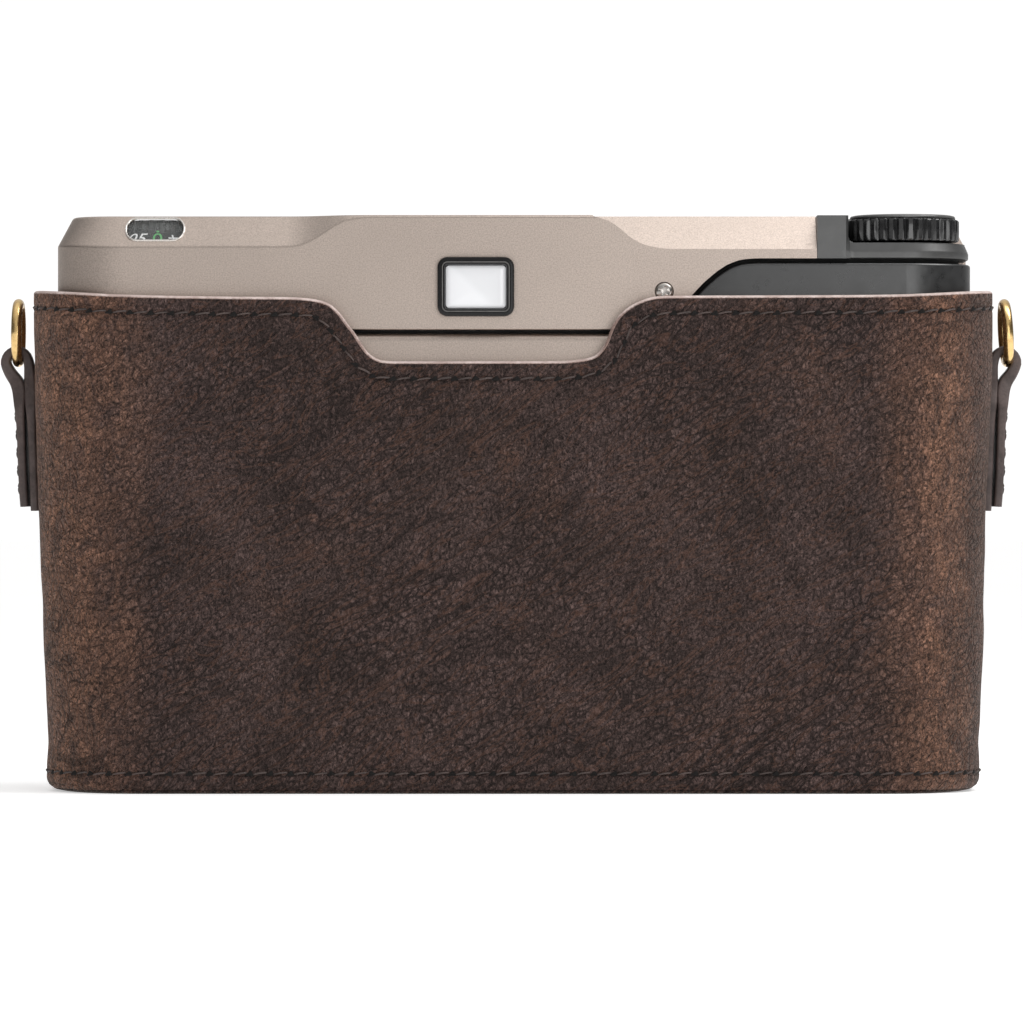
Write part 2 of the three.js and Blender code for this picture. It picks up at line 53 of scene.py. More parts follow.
class Mat:
    """A node material. Texture scales are in features per metre, on object coordinates."""

    def __init__(self, name):
        self.m = bpy.data.materials.new(name)
        self.m.use_nodes = True
        self.t = self.m.node_tree
        self.b = self.t.nodes["Principled BSDF"]
        self.tc = self.t.nodes.new("ShaderNodeTexCoord")
        self.obj = self.tc.outputs["Object"]

    def put(self, key, value):
        s = self.b.inputs[key]
        if hasattr(value, "is_output") or isinstance(value, bpy.types.NodeSocket):
            self.t.links.new(value, s)
        elif isinstance(value, (tuple, list)):
            s.default_value = tuple(value) + (1.0,) * (4 - len(value)) if len(value) == 3 else tuple(value)
        else:
            s.default_value = value
        return self

    def scaled(self, v, vec=None):
        n = self.t.nodes.new("ShaderNodeMapping")
        n.inputs["Scale"].default_value = v
        self.t.links.new(vec or self.obj, n.inputs["Vector"])
        return n.outputs[0]

    def turned(self, rot, scale, vec=None):
        n = self.t.nodes.new("ShaderNodeMapping")
        n.inputs["Rotation"].default_value = rot
        self.t.links.new(vec or self.obj, n.inputs["Vector"])
        return self.scaled(scale, n.outputs[0])

    def noise(self, scale, detail=3.0, rough=0.55, dist=0.0, vec=None):
        n = self.t.nodes.new("ShaderNodeTexNoise")
        n.inputs["Scale"].default_value = scale
        n.inputs["Detail"].default_value = detail
        n.inputs["Roughness"].default_value = rough
        n.inputs["Distortion"].default_value = dist
        self.t.links.new(vec or self.obj, n.inputs["Vector"])
        return n.outputs["Fac"]

    def noise_vec(self, scale, amount, vec=None):
        """object coordinates pushed about by a noise, amount in metres"""
        n = self.t.nodes.new("ShaderNodeTexNoise")
        n.inputs["Scale"].default_value = scale
        n.inputs["Detail"].default_value = 2
        self.t.links.new(vec or self.obj, n.inputs["Vector"])
        c = self.t.nodes.new("ShaderNodeVectorMath")
        c.operation = "SUBTRACT"
        self.t.links.new(n.outputs["Color"], c.inputs[0])
        c.inputs[1].default_value = (0.5, 0.5, 0.5)
        s = self.t.nodes.new("ShaderNodeVectorMath")
        s.operation = "SCALE"
        self.t.links.new(c.outputs[0], s.inputs[0])
        s.inputs["Scale"].default_value = amount
        a = self.t.nodes.new("ShaderNodeVectorMath")
        a.operation = "ADD"
        self.t.links.new(vec or self.obj, a.inputs[0])
        self.t.links.new(s.outputs[0], a.inputs[1])
        return a.outputs[0]

    def voronoi(self, scale, feature="F1", vec=None, random=1.0):
        n = self.t.nodes.new("ShaderNodeTexVoronoi")
        n.feature = feature
        n.inputs["Scale"].default_value = scale
        n.inputs["Randomness"].default_value = random
        self.t.links.new(vec or self.obj, n.inputs["Vector"])
        return n.outputs["Distance"]

    def ramp(self, fac, stops, smooth=False):
        n = self.t.nodes.new("ShaderNodeValToRGB")
        r = n.color_ramp
        if smooth:
            r.interpolation = "EASE"
        while len(r.elements) < len(stops):
            r.elements.new(0.5)
        for e, (p, c) in zip(r.elements, stops):
            e.position = p
            e.color = (c, c, c, 1) if isinstance(c, (int, float)) else tuple(c) + (1,)
        self.t.links.new(fac, n.inputs[0])
        return n.outputs[0]

    def math(self, op, a, b=0.0, c=None, clamp=False):
        n = self.t.nodes.new("ShaderNodeMath")
        n.operation = op
        n.use_clamp = clamp
        for i, v in enumerate((a, b) if c is None else (a, b, c)):
            if isinstance(v, (int, float)):
                n.inputs[i].default_value = v
            else:
                self.t.links.new(v, n.inputs[i])
        return n.outputs[0]

    def mix(self, fac, a, b, mode="MIX"):
        n = self.t.nodes.new("ShaderNodeMix")
        n.data_type = "RGBA"
        n.blend_type = mode
        for key, v in ((0, fac), (6, a), (7, b)):
            if isinstance(v, (int, float)):
                n.inputs[key].default_value = v if key == 0 else (v, v, v, 1)
            elif isinstance(v, (tuple, list)):
                n.inputs[key].default_value = tuple(v) + (1,)
            else:
                self.t.links.new(v, n.inputs[key])
        return n.outputs[2]

    def xyz(self, vec=None):
        n = self.t.nodes.new("ShaderNodeSeparateXYZ")
        self.t.links.new(vec or self.obj, n.inputs[0])
        return n.outputs[0], n.outputs[1], n.outputs[2]

    def bump(self, height, strength, distance, normal=None):
        n = self.t.nodes.new("ShaderNodeBump")
        n.inputs["Strength"].default_value = strength
        n.inputs["Distance"].default_value = distance
        self.t.links.new(height, n.inputs["Height"])
        if normal is not None:
            self.t.links.new(normal, n.inputs["Normal"])
        return n.outputs[0]


def titanium(name, base=(0.515, 0.436, 0.385), rough=0.42, grain=1.0):
    k = Mat(name)
    speck = k.noise(5200, 2, 0.7)
    cloud = k.noise(90, 3, 0.6, 0.4)
    dark = tuple(c * 0.80 for c in base)
    light = tuple(min(1, c * 1.13) for c in base)
    col = k.mix(k.ramp(speck, [(0.36, 0), (0.66, 1)]), dark, light)
    col = k.mix(k.ramp(cloud, [(0.35, 0.0), (0.7, 0.16)]), col, tuple(c * 0.72 for c in base))
    # faint handling scratches
    scr = k.noise(420, 1, 0.3, 0.0, k.turned((0.3, 0.5, 0.9), (0.08, 1.6, 1.0)))
    line = k.ramp(k.math("ABSOLUTE", k.math("SUBTRACT", scr, 0.56)), [(0.0, 0.10), (0.006, 0.0)])
    col = k.mix(line, col, tuple(min(1, c * 1.4) for c in base))
    k.put("Base Color", col)
    k.put("Metallic", 1.0)
    k.put("Roughness", k.ramp(k.noise(2600, 3, 0.6), [(0.3, rough - 0.05), (0.7, rough + 0.08)]))
    h = k.math("ADD", k.noise(7000, 2, 0.6), k.math("MULTIPLY", k.noise(2400, 2, 0.5), 0.6))
    k.put("Normal", k.bump(h, 0.16 * grain, 0.00003))
    return k.m


def plastic(name, base=(0.021, 0.0215, 0.0215), rough=0.36, texture=0.12, scale=5200, coat=0.0, spec=0.5):
    k = Mat(name)
    col = k.mix(k.ramp(k.noise(240, 4, 0.65, 0.5), [(0.3, 0), (0.8, 1)]), base, tuple(c * 1.55 for c in base))
    dust = k.ramp(k.noise(1500, 5, 0.75), [(0.66, 0), (0.80, 0.22)])
    col = k.mix(dust, col, (0.10, 0.10, 0.098))
    k.put("Base Color", col)
    k.put("Roughness", k.ramp(k.noise(700, 3, 0.6), [(0.3, rough - 0.05), (0.75, rough + 0.10)]))
    k.put("Normal", k.bump(k.noise(scale, 2, 0.5), texture, 0.00003))
    k.b.inputs["Specular IOR Level"].default_value = spec
    if coat:
        k.b.inputs["Coat Weight"].default_value = coat
        k.b.inputs["Coat Roughness"].default_value = 0.2
    return k.m


def leather(name, dark=(0.043, 0.0272, 0.0240), mid=(0.078, 0.0500, 0.0450), worn_and_sheen=(0.250, 0.128, 0.082), zones=True, grain=1.0):
    k = Mat(name)
    warp = k.noise_vec(520, 0.0011)
    cells = k.voronoi(1450, "DISTANCE_TO_EDGE", warp)
    valley = k.ramp(cells, [(0.0, 0.0), (0.16, 1.0)], True)
    hair = k.noise(3300, 3, 0.66, 0.9, k.noise_vec(900, 0.0004, k.scaled((1.0, 1.0, 0.60))))
    cloud = k.noise(46, 4, 0.6, 0.8)
    patch = k.noise(190, 3, 0.6, 0.5)
    col = k.mix(k.ramp(cloud, [(0.33, 0), (0.68, 1)], True), dark, mid)
    col = k.mix(k.ramp(patch, [(0.45, 0), (0.75, 0.35)]), col, tuple(c * 1.35 for c in mid))
    # warm rubbed places
    red = k.ramp(k.noise(30, 4, 0.65, 1.4), [(0.52, 0), (0.74, 0.32)], True)
    col = k.mix(red, col, tuple(0.62 * c for c in worn_and_sheen))
    if zones:
        # lighter warm bands at both ends, where the case turns round: partly burnished wear, partly a painted sheen
        # where light grazes the rounded ends
        x, y, z = k.xyz(k.noise_vec(70, 0.008))
        px = k.ramp(k.math("MULTIPLY", x, 10.0), [(0.50, 0.0), (0.57, 0.55), (0.62, 0.88), (0.665, 0.95), (0.70, 0.9)], True)
        nx = k.ramp(k.math("MULTIPLY", x, -10.0), [(0.50, 0.0), (0.565, 0.50), (0.605, 0.95), (0.640, 0.60), (0.655, 0.20), (0.70, 0.12)], True)
        worn_sheen_zone = k.math("ADD", px, nx)
        streak = k.ramp(k.noise(300, 5, 0.72, 1.2, k.scaled((1.0, 1.0, 0.55))), [(0.34, 0.12), (0.62, 1.0)])
        col = k.mix(k.math("MULTIPLY", worn_sheen_zone, streak), col, worn_and_sheen)
    # grain: dark valleys, paler rubbed hair
    col = k.mix(k.math("MULTIPLY", k.math("SUBTRACT", 1.0, valley), 0.25 * grain), col, tuple(c * 0.35 for c in dark))
    depth = k.math("MULTIPLY", k.math("SUBTRACT", hair, 0.34), 3.2, clamp=True)
    gain = k.math("ADD", k.math("MULTIPLY", k.math("POWER", depth, 1.3), 1.80), 0.24)
    col = k.mix(1.0, col, gain, "MULTIPLY")
    col = k.mix(k.ramp(hair, [(0.60, 0.0), (0.72, 0.30 * grain)]), col, (0.20, 0.150, 0.130))
    # long soft creases that climb aslant
    wave = k.noise(52, 4, 0.55, 1.2, k.turned((0, -0.62, 0), (0.42, 1.0, 1.9)))
    thin = k.ramp(k.math("ABSOLUTE", k.math("SUBTRACT", wave, 0.52)), [(0.0, 1.0), (0.026, 0.0)], True)
    where = k.ramp(k.noise(24, 2, 0.5), [(0.46, 0.0), (0.60, 1.0)], True)
    pull = k.math("MULTIPLY", thin, where)
    # pebbled skin, plainest away from the ends
    peb = k.voronoi(660, "DISTANCE_TO_EDGE", k.noise_vec(230, 0.0030, k.turned((0, -0.5, 0), (0.85, 1.0, 1.30))))
    ridge = k.ramp(peb, [(0.0, 0.0), (0.16, 1.0)], True)
    amount = k.ramp(k.noise(31, 3, 0.55, 0.6), [(0.36, 0.25), (0.56, 1.0)], True)
    gap = k.math("MULTIPLY", k.math("SUBTRACT", 1.0, ridge), amount)
    if zones:
        gap = k.math("MULTIPLY", gap, k.math("SUBTRACT", 1.0, k.math("MULTIPLY", worn_sheen_zone, 0.62)), clamp=True)
    col = k.mix(k.math("MULTIPLY", gap, 0.72), col, tuple(c * 0.30 for c in dark))
    # fine hairline creases, reddish where the top coat has split
    web = k.noise(150, 5, 0.62, 1.9, k.turned((0, -0.60, 0), (0.45, 1.0, 1.8)))
    split = k.ramp(k.math("ABSOLUTE", k.math("SUBTRACT", web, 0.50)), [(0.0, 1.0), (0.028, 0.0)], True)
    col = k.mix(k.math("MULTIPLY", split, 0.50), col, (0.125, 0.062, 0.042))
    dent = k.ramp(k.math("ABSOLUTE", k.math("SUBTRACT", web, 0.535)), [(0.0, 1.0), (0.018, 0.0)], True)
    col = k.mix(k.math("MULTIPLY", dent, 0.50), col, tuple(c * 0.30 for c in dark))
    col = k.mix(k.math("MULTIPLY", pull, 0.65), col, tuple(c * 0.25 for c in dark))
    k.put("Base Color", col)
    k.put("Roughness", k.ramp(hair, [(0.3, 0.75), (0.7, 0.55)]))
    k.b.inputs["Specular IOR Level"].default_value = 0.16
    k.b.inputs["Sheen Weight"].default_value = 0.16
    k.b.inputs["Sheen Roughness"].default_value = 0.35
    k.b.inputs["Sheen Tint"].default_value = (0.9, 0.72, 0.62, 1)
    # wrinkles that run aslant, then the pebbles, then the hair
    fold = k.noise(120, 5, 0.62, 1.6, k.turned((0, -0.62, 0), (0.50, 1.0, 1.9)))
    crease = k.ramp(k.math("ABSOLUTE", k.math("SUBTRACT", fold, 0.5)), [(0.0, 0.0), (0.05, 1.0)], True)
    n0 = k.bump(k.math("SUBTRACT", wave, k.math("MULTIPLY", pull, 0.25)), 0.5, 0.0011)
    n1 = k.bump(k.math("ADD", k.math("MULTIPLY", crease, 0.5), fold), 0.55, 0.00035, n0)
    n2 = k.bump(k.math("ADD", ridge, k.math("MULTIPLY", valley, 0.4)), 0.85 * grain, 0.00028, n1)
    n3 = k.bump(hair, 0.75 * grain, 0.00013, n2)
    k.put("Normal", n3)
    return k.m


def simple_leather(name, base, edge=1.5, rough=0.48, scale=2600, strength=0.35):
    k = Mat(name)
    n = k.noise(scale, 4, 0.65, 0.4)
    cloud = k.noise(260, 3, 0.6, 0.6)
    col = k.mix(k.ramp(cloud, [(0.3, 0), (0.72, 1)], True), tuple(c * 0.72 for c in base), tuple(min(1, c * edge) for c in base))
    col = k.mix(k.ramp(n, [(0.3, 0.4), (0.55, 0.0)]), col, tuple(c * 0.4 for c in base))
    k.put("Base Color", col)
    k.put("Roughness", k.ramp(n, [(0.3, rough + 0.12), (0.7, rough)]))
    k.put("Normal", k.bump(k.math("ADD", n, k.math("MULTIPLY", k.voronoi(1700, "F1", k.noise_vec(700, 0.0005)), 0.5)), strength, 0.00010))
    return k.m


def raw_edge(name):
    k = Mat(name)
    n = k.noise(2600, 4, 0.65, 0.4)
    # pale for faces turned upwards, brown for faces turned sideways (below): partly the edge's own two-layer finish,
    # partly a painted highlight along the rounded top
    pale_and_lit_top = k.mix(k.ramp(k.noise(420, 3, 0.6, 0.6), [(0.3, 0), (0.72, 1)], True), (0.50, 0.385, 0.350), (0.74, 0.62, 0.585))
    brown = k.mix(k.ramp(n, [(0.35, 0), (0.65, 1)]), (0.10, 0.050, 0.038), (0.30, 0.185, 0.150))
    g = k.t.nodes.new("ShaderNodeNewGeometry")
    _, _, nz = k.xyz(g.outputs["Normal"])
    side = k.ramp(k.math("ADD", nz, k.math("MULTIPLY", k.math("SUBTRACT", n, 0.5), 0.5)), [(0.28, 1.0), (0.62, 0.0)], True)
    k.put("Base Color", k.mix(k.math("MULTIPLY", side, 0.8), pale_and_lit_top, brown))
    k.put("Roughness", k.ramp(n, [(0.3, 0.7), (0.7, 0.55)]))
    k.put("Normal", k.bump(n, 0.4, 0.00010))
    return k.m


def metal(name, base, rough=0.2, scratch=0.1, aniso=0.0, tarnish=None):
    k = Mat(name)
    n = k.noise(900, 4, 0.65, 0.3)
    t = tarnish or tuple(c * 0.6 for c in base)
    col = k.mix(k.ramp(n, [(0.42, 0.0), (0.75, 0.6)], True), base, t)
    k.put("Base Color", col)
    k.put("Metallic", 1.0)
    k.put("Roughness", k.ramp(k.noise(2200, 3, 0.6), [(0.3, rough), (0.75, rough + 0.12)]))
    k.put("Normal", k.bump(k.noise(3800, 3, 0.6, 0.0, k.scaled((1, 1, 0.25))), scratch, 0.00002))
    if aniso:
        k.b.inputs["Anisotropic"].default_value = aniso
    return k.m


def glass(name, tint=(0.80, 0.85, 0.90), rough=0.03, coat=(0.55, 0.5, 0.75), painted_glow=0.0):
    k = Mat(name)
    col = k.mix(k.ramp(k.noise(70, 2, 0.5, 0.3), [(0.35, 0), (0.7, 1)], True), tint, tuple(min(1, c * 1.08) for c in tint))
    if painted_glow:
        # painted highlight: a lighter diagonal band towards the +X, lower side of the pane
        x, y, z = k.xyz(k.obj)
        lean = k.math("ADD", k.math("MULTIPLY", k.math("ADD", k.math("SUBTRACT", x, z), 0.0671), 100.0), 0.5)
        col = k.mix(k.ramp(lean, [(0.48, 0.0), (0.66, 1.0)], True), col, tuple(min(1, c * 1.16) for c in tint))
    k.put("Base Color", col)
    k.put("Roughness", k.ramp(k.noise(1300, 3, 0.6), [(0.4, rough), (0.8, rough + 0.05)]))
    k.b.inputs["Specular IOR Level"].default_value = 0.7
    k.b.inputs["Coat Weight"].default_value = 0.6
    k.b.inputs["Coat Tint"].default_value = tuple(coat) + (1,)
    if painted_glow:
        # painted glow: emission standing for the backdrop light seen through the finder
        k.b.inputs["Emission Color"].default_value = (0.98, 0.99, 1.0, 1)
        k.b.inputs["Emission Strength"].default_value = painted_glow
    return k.m


def dyed(name, colour, rough=0.6, painted_glow=0.0):
    k = Mat(name)
    # painted glow: the mark emits a little light of its own colour
    k.b.inputs["Emission Color"].default_value = tuple(colour) + (1,)
    k.b.inputs["Emission Strength"].default_value = painted_glow
    n = k.noise(4200, 3, 0.6)
    k.put("Base Color", k.mix(k.ramp(n, [(0.3, 0), (0.7, 1)]), tuple(c * 0.85 for c in colour), colour))
    k.put("Roughness", rough)
    k.put("Normal", k.bump(n, 0.1, 0.00002))
    return k.m


MATS = {
    "titanium": titanium("satin_titanium"),
    "titanium_edge": titanium("bright_edge", (0.82, 0.78, 0.74), 0.30, 0.5),
    "black": plastic("black_satin", (0.012, 0.0125, 0.0130), 0.30, 0.10, spec=1.0),
    "housing": plastic("black_housing", (0.042, 0.0425, 0.042), 0.34, 0.10, spec=0.9),
    "dial": plastic("black_dial", (0.006, 0.006, 0.0065), 0.17, 0.04, spec=0.9),
    "eye": plastic("black_gloss", (0.006, 0.006, 0.0062), 0.20, 0.04, spec=0.28),
    "black_metal": plastic("black_enamel", (0.014, 0.014, 0.0145), 0.27, 0.05, 5200, 0.4),
    # near-black foam, used behind seams and in gaps as painted shade
    "seal": plastic("gap_shade_foam", (0.004, 0.004, 0.004), 0.9, 0.5, 3000),
    "grip": plastic("grip_rubber", (0.018, 0.018, 0.018), 0.62, 0.9, 1500),
    "leather": leather("case_leather"),
    "leather_base": leather("base_leather", (0.020, 0.013, 0.011), (0.033, 0.022, 0.019), zones=False),
    "edge": raw_edge("raw_edge"),
    "lining": simple_leather("suede_lining", (0.20, 0.145, 0.115), 1.3, 0.9, 3600, 0.8),
    "tab": simple_leather("tab_leather", (0.058, 0.041, 0.038), 1.35, 0.42, 2600, 0.30),
    "tab_edge": simple_leather("tab_edge", (0.085, 0.061, 0.056), 1.3, 0.5, 2200, 0.3),
    "thread": simple_leather("waxed_thread", (0.060, 0.041, 0.036), 1.5, 0.5, 5200, 0.5),
    # near-black lining of the needle holes: painted shade inside the holes
    "hole": plastic("needle_hole_painted_shade", (0.0035, 0.0025, 0.0022), 0.95, 0.2),
    "brass": metal("ring_brass", (0.80, 0.56, 0.25), 0.16, 0.10, 0.0, (0.50, 0.31, 0.12)),
    "steel": metal("bright_steel", (0.60, 0.585, 0.57), 0.22, 0.12),
    "dark_steel": metal("dark_steel", (0.20, 0.195, 0.19), 0.30, 0.15),
    "screw": metal("screw_steel", (0.50, 0.47, 0.44), 0.18, 0.2),
    # finder pane, also used on the finder block: painted diagonal highlight and painted glow
    "glass": glass("finder_glass_painted_glow", (0.70, 0.705, 0.725), 0.05, (1, 1, 1), 0.13),
    "dark_glass": glass("dark_glass", (0.012, 0.014, 0.022), 0.02, (0.7, 0.62, 0.9)),
    "pane": glass("dial_pane", (0.05, 0.05, 0.052), 0.05, (1, 1, 1)),
    "lens": glass("lens_glass", (0.010, 0.010, 0.022), 0.01, (0.62, 0.45, 0.95)),
    # the white and green marks carry a painted glow
    "white": dyed("white_mark_painted_glow", (0.95, 0.96, 0.96), 0.6, 0.40),
    "green": dyed("green_mark_painted_glow", (0.14, 0.66, 0.19), 0.6, 0.12),
    "red": dyed("red_mark", (0.62, 0.05, 0.04)),
    "drum": plastic("drum_grey", (0.014, 0.0145, 0.014), 0.8, 0.15, spec=0.08),
    "board": dyed("board_green", (0.03, 0.16, 0.07), 0.4),
    "felt": simple_leather("felt_pad", (0.16, 0.11, 0.08), 1.3, 0.95, 3000, 0.9),
    "lamp": glass("lamp_red", (0.35, 0.03, 0.03), 0.08, (1, 1, 1)),
}

# ------------------------------------------------------------------------------------------------
# mesh helpers
# ------------------------------------------------------------------------------------------------


def mesh_object(name, verts, faces, mats, midx=None, sharp=38.0, recalc=True):
    me = bpy.data.meshes.new(name)
    v = np.asarray(verts, float) * MM
    me.from_pydata([tuple(p) for p in v.tolist()], [], faces)
    for m in mats:
        me.materials.append(m)
    if midx is not None:
        me.polygons.foreach_set("material_index", np.asarray(midx, np.int32))
    if recalc:
        bm = bmesh.new()
        bm.from_mesh(me)
        bmesh.ops.recalc_face_normals(bm, faces=bm.faces)
        bm.to_mesh(me)
        bm.free()
    me.polygons.foreach_set("use_smooth", np.ones(len(me.polygons), bool))
    me.update()
    if sharp:
        me.set_sharp_from_angle(angle=math.radians(sharp))
    o = bpy.data.objects.new(name, me)
    bpy.context.scene.collection.objects.link(o)
    return o


def place(o, body, nodes=()):
    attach(o, body)
    if nodes:
        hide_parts(*nodes)
    return o


def join_meshes(name, parts, mats, sharp=38.0):
    """parts: (verts, faces, material index)"""
    V, F, I, n = [], [], [], 0
    for v, f, i in parts:
        V.append(np.asarray(v, float))
        F += [tuple(a + n for a in q) for q in f]
        I += [i] * len(f)
        n += len(v)
    return mesh_object(name, np.vstack(V), F, mats, I, sharp)


def grid_faces(nu, nv, close_u=False, close_v=False):
    """vertex (i, j) is i * nv + j"""
    f = []
    for i in range(nu if close_u else nu - 1):
        a = i * nv
        b = ((i + 1) % nu) * nv
        for j in range(nv if close_v else nv - 1):
            k = (j + 1) % nv
            f.append((a + j, b + j, b + k, a + k))
    return f


def lathe(profile, n=96, centre=(0, 0), axis="Z", phase=0.0):
    """closed (radius, height) profile turned about an axis; points with radius 0 are kept as tiny rings' poles by merging"""
    v, f = [], []
    m = len(profile)
    idx = []
    for j, (r, z) in enumerate(profile):
        if abs(r) < 1e-9:
            idx.append([len(v)] * n)
            v.append((0.0, 0.0, z))
        else:
            idx.append(list(range(len(v), len(v) + n)))
            for i in range(n):
                a = 2 * math.pi * (i + phase) / n
                v.append((r * math.cos(a), r * math.sin(a), z))
    for j in range(m):
        k = (j + 1) % m
        if abs(profile[j][0]) < 1e-9 and abs(profile[k][0]) < 1e-9:
            continue
        for i in range(n):
            q = [idx[j][i], idx[j][(i + 1) % n], idx[k][(i + 1) % n], idx[k][i]]
            out = []
            for a in q:
                if a not in out:
                    out.append(a)
            if len(out) > 2:
                f.append(tuple(out))
    v = np.array(v)
    if axis == "Z":
        v = v + np.array([centre[0], centre[1], 0])
    else:  # heights run along +Y
        v = np.stack([v[:, 0] + centre[0], v[:, 2], v[:, 1] + centre[1]], 1)
    return v, f


def tube(path, r, n=8, closed=False, flat=1.0):
    """tube along a list of points; r may be a list"""
    p = np.asarray(path, float)
    m = len(p)
    rr = np.full(m, r, float) if np.isscalar(r) else np.asarray(r, float)
    t = np.gradient(p, axis=0)
    if closed:
        t = np.roll(p, -1, 0) - np.roll(p, 1, 0)
    t /= np.linalg.norm(t, axis=1)[:, None]
    up = np.array([0.0, 0.0, 1.0])
    if abs(t[0] @ up) > 0.9:
        up = np.array([1.0, 0, 0])
    u = np.cross(t, up)
    u /= np.maximum(np.linalg.norm(u, axis=1), 1e-9)[:, None]
    w = np.cross(u, t)
    v = []
    for i in range(m):
        for k in range(n):
            a = 2 * math.pi * k / n
            v.append(p[i] + rr[i] * (math.cos(a) * u[i] + flat * math.sin(a) * w[i]))
    f = grid_faces(m, n, closed, True)
    if not closed:
        f.append(tuple(range(n)))
        f.append(tuple((m - 1) * n + k for k in reversed(range(n))))
    return np.array(v), f


def rounded_rect(x0, x1, y0, y1, r, n=10):
    p = []
    for cx, cy, a0 in ((x1 - r, y1 - r, 0), (x0 + r, y1 - r, 90), (x0 + r, y0 + r, 180), (x1 - r, y0 + r, 270)):
        for i in range(n + 1):
            a = math.radians(a0 + 90 * i / n)
            p.append((cx + r * math.cos(a), cy + r * math.sin(a)))
    return p


def loft(rings, cap0=True, cap1=True):
    n = len(rings[0])
    v = np.vstack([np.asarray(r, float) for r in rings])
    f = grid_faces(len(rings), n, False, True)
    if cap0:
        f.append(tuple(reversed(range(n))))
    if cap1:
        f.append(tuple((len(rings) - 1) * n + k for k in range(n)))
    return v, f


def extrude_y(poly, y0, y1):
    a = [(x, y0, z) for x, z in poly]
    b = [(x, y1, z) for x, z in poly]
    return loft([a, b])


def extrude_z(poly, z0, z1):
    return loft([[(x, y, z0) for x, y in poly], [(x, y, z1) for x, y in poly]])


def box_mesh(x0, x1, y0, y1, z0, z1):
    return extrude_z([(x0, y0), (x1, y0), (x1, y1), (x0, y1)], z0, z1)


def cut(o, cutters, op="DIFFERENCE"):
    """booleans with throw-away cutters, applied"""
    for v, f in cutters:
        c = mesh_object("cutter", v, f, [], sharp=None)
        m = o.modifiers.new("cut", "BOOLEAN")
        m.object = c
        m.operation = op
        m.solver = "EXACT"
        bpy.context.view_layer.update()
        dg = bpy.context.evaluated_depsgraph_get()
        me = bpy.data.meshes.new_from_object(o.evaluated_get(dg))
        o.modifiers.remove(m)
        old = o.data
        o.data = me
        me.name = o.name
        bpy.data.meshes.remove(old)
        cm = c.data
        bpy.data.objects.remove(c)
        bpy.data.meshes.remove(cm)
    return o


def soften(o, width, seg=3, angle=38.0):
    """small rounded edges"""
    m = o.modifiers.new("edge", "BEVEL")
    m.width = width * MM
    m.segments = seg
    m.limit_method = "ANGLE"
    m.angle_limit = math.radians(angle)
    m.harden_normals = False
    m.use_clamp_overlap = True
    w = o.modifiers.new("normals", "WEIGHTED_NORMAL")
    w.keep_sharp = True
    for p in o.data.polygons:
        p.use_smooth = True
    return o


def curve_at(points, x):
    xs = [p[0] for p in points]
    zs = [p[1] for p in points]
    if xs[0] > xs[-1]:
        xs, zs = xs[::-1], zs[::-1]
    return float(np.interp(x, xs, zs))


def catmull(points, n):
    """n points along a smooth open curve, evenly spaced"""
    p = np.asarray(points, float)
    q = np.vstack([2 * p[0] - p[1], p, 2 * p[-1] - p[-2]])
    out = []
    for i in range(1, len(q) - 2):
        a, b, c, d = q[i - 1], q[i], q[i + 1], q[i + 2]
        for t in np.linspace(0, 1, 24, endpoint=False):
            out.append(0.5 * (2 * b + (c - a) * t + (2 * a - 5 * b + 4 * c - d) * t * t + (3 * b - a - 3 * c + d) * t ** 3))
    out.append(p[-1])
    out = np.array(out)
    s = np.r_[0, np.cumsum(np.linalg.norm(np.diff(out, axis=0), axis=1))]
    if n is None:
        return out
    u = np.linspace(0, s[-1], n)
    return np.stack([np.interp(u, s, out[:, k]) for k in range(out.shape[1])], 1)


def text_mesh(body_text, size, extrude):
    c = bpy.data.curves.new("glyphs", "FONT")
    c.body = body_text
    c.size = size
    c.extrude = extrude
    c.align_x = "CENTER"
    c.align_y = "CENTER"
    c.resolution_u = 6
    o = bpy.data.objects.new("glyphs", c)
    bpy.context.scene.collection.objects.link(o)
    bpy.context.view_layer.update()
    me = bpy.data.meshes.new_from_object(o.evaluated_get(bpy.context.evaluated_depsgraph_get()))
    v = np.zeros(len(me.vertices) * 3)
    me.vertices.foreach_get("co", v)
    v = v.reshape(-1, 3)
    f = [tuple(p.vertices) for p in me.polygons]
    bpy.data.objects.remove(o)
    bpy.data.curves.remove(c)
    bpy.data.meshes.remove(me)
    return v, f


# ------------------------------------------------------------------------------------------------
# the leather half case
# ------------------------------------------------------------------------------------------------
CASE_HX, CASE_HY, CASE_R = 69.15, 18.4, 12.6
HALF_TABLE = [(0, 64.5), (0.2, 65.6), (0.5, 66.4), (0.9, 66.85), (1.6, 67.2), (2.6, 67.28), (4.3, 67.2), (7.1, 67.0), (13, 67.3), (20, 67.6), (27.3, 67.8), (36, 68.2), (72, 69.2)]


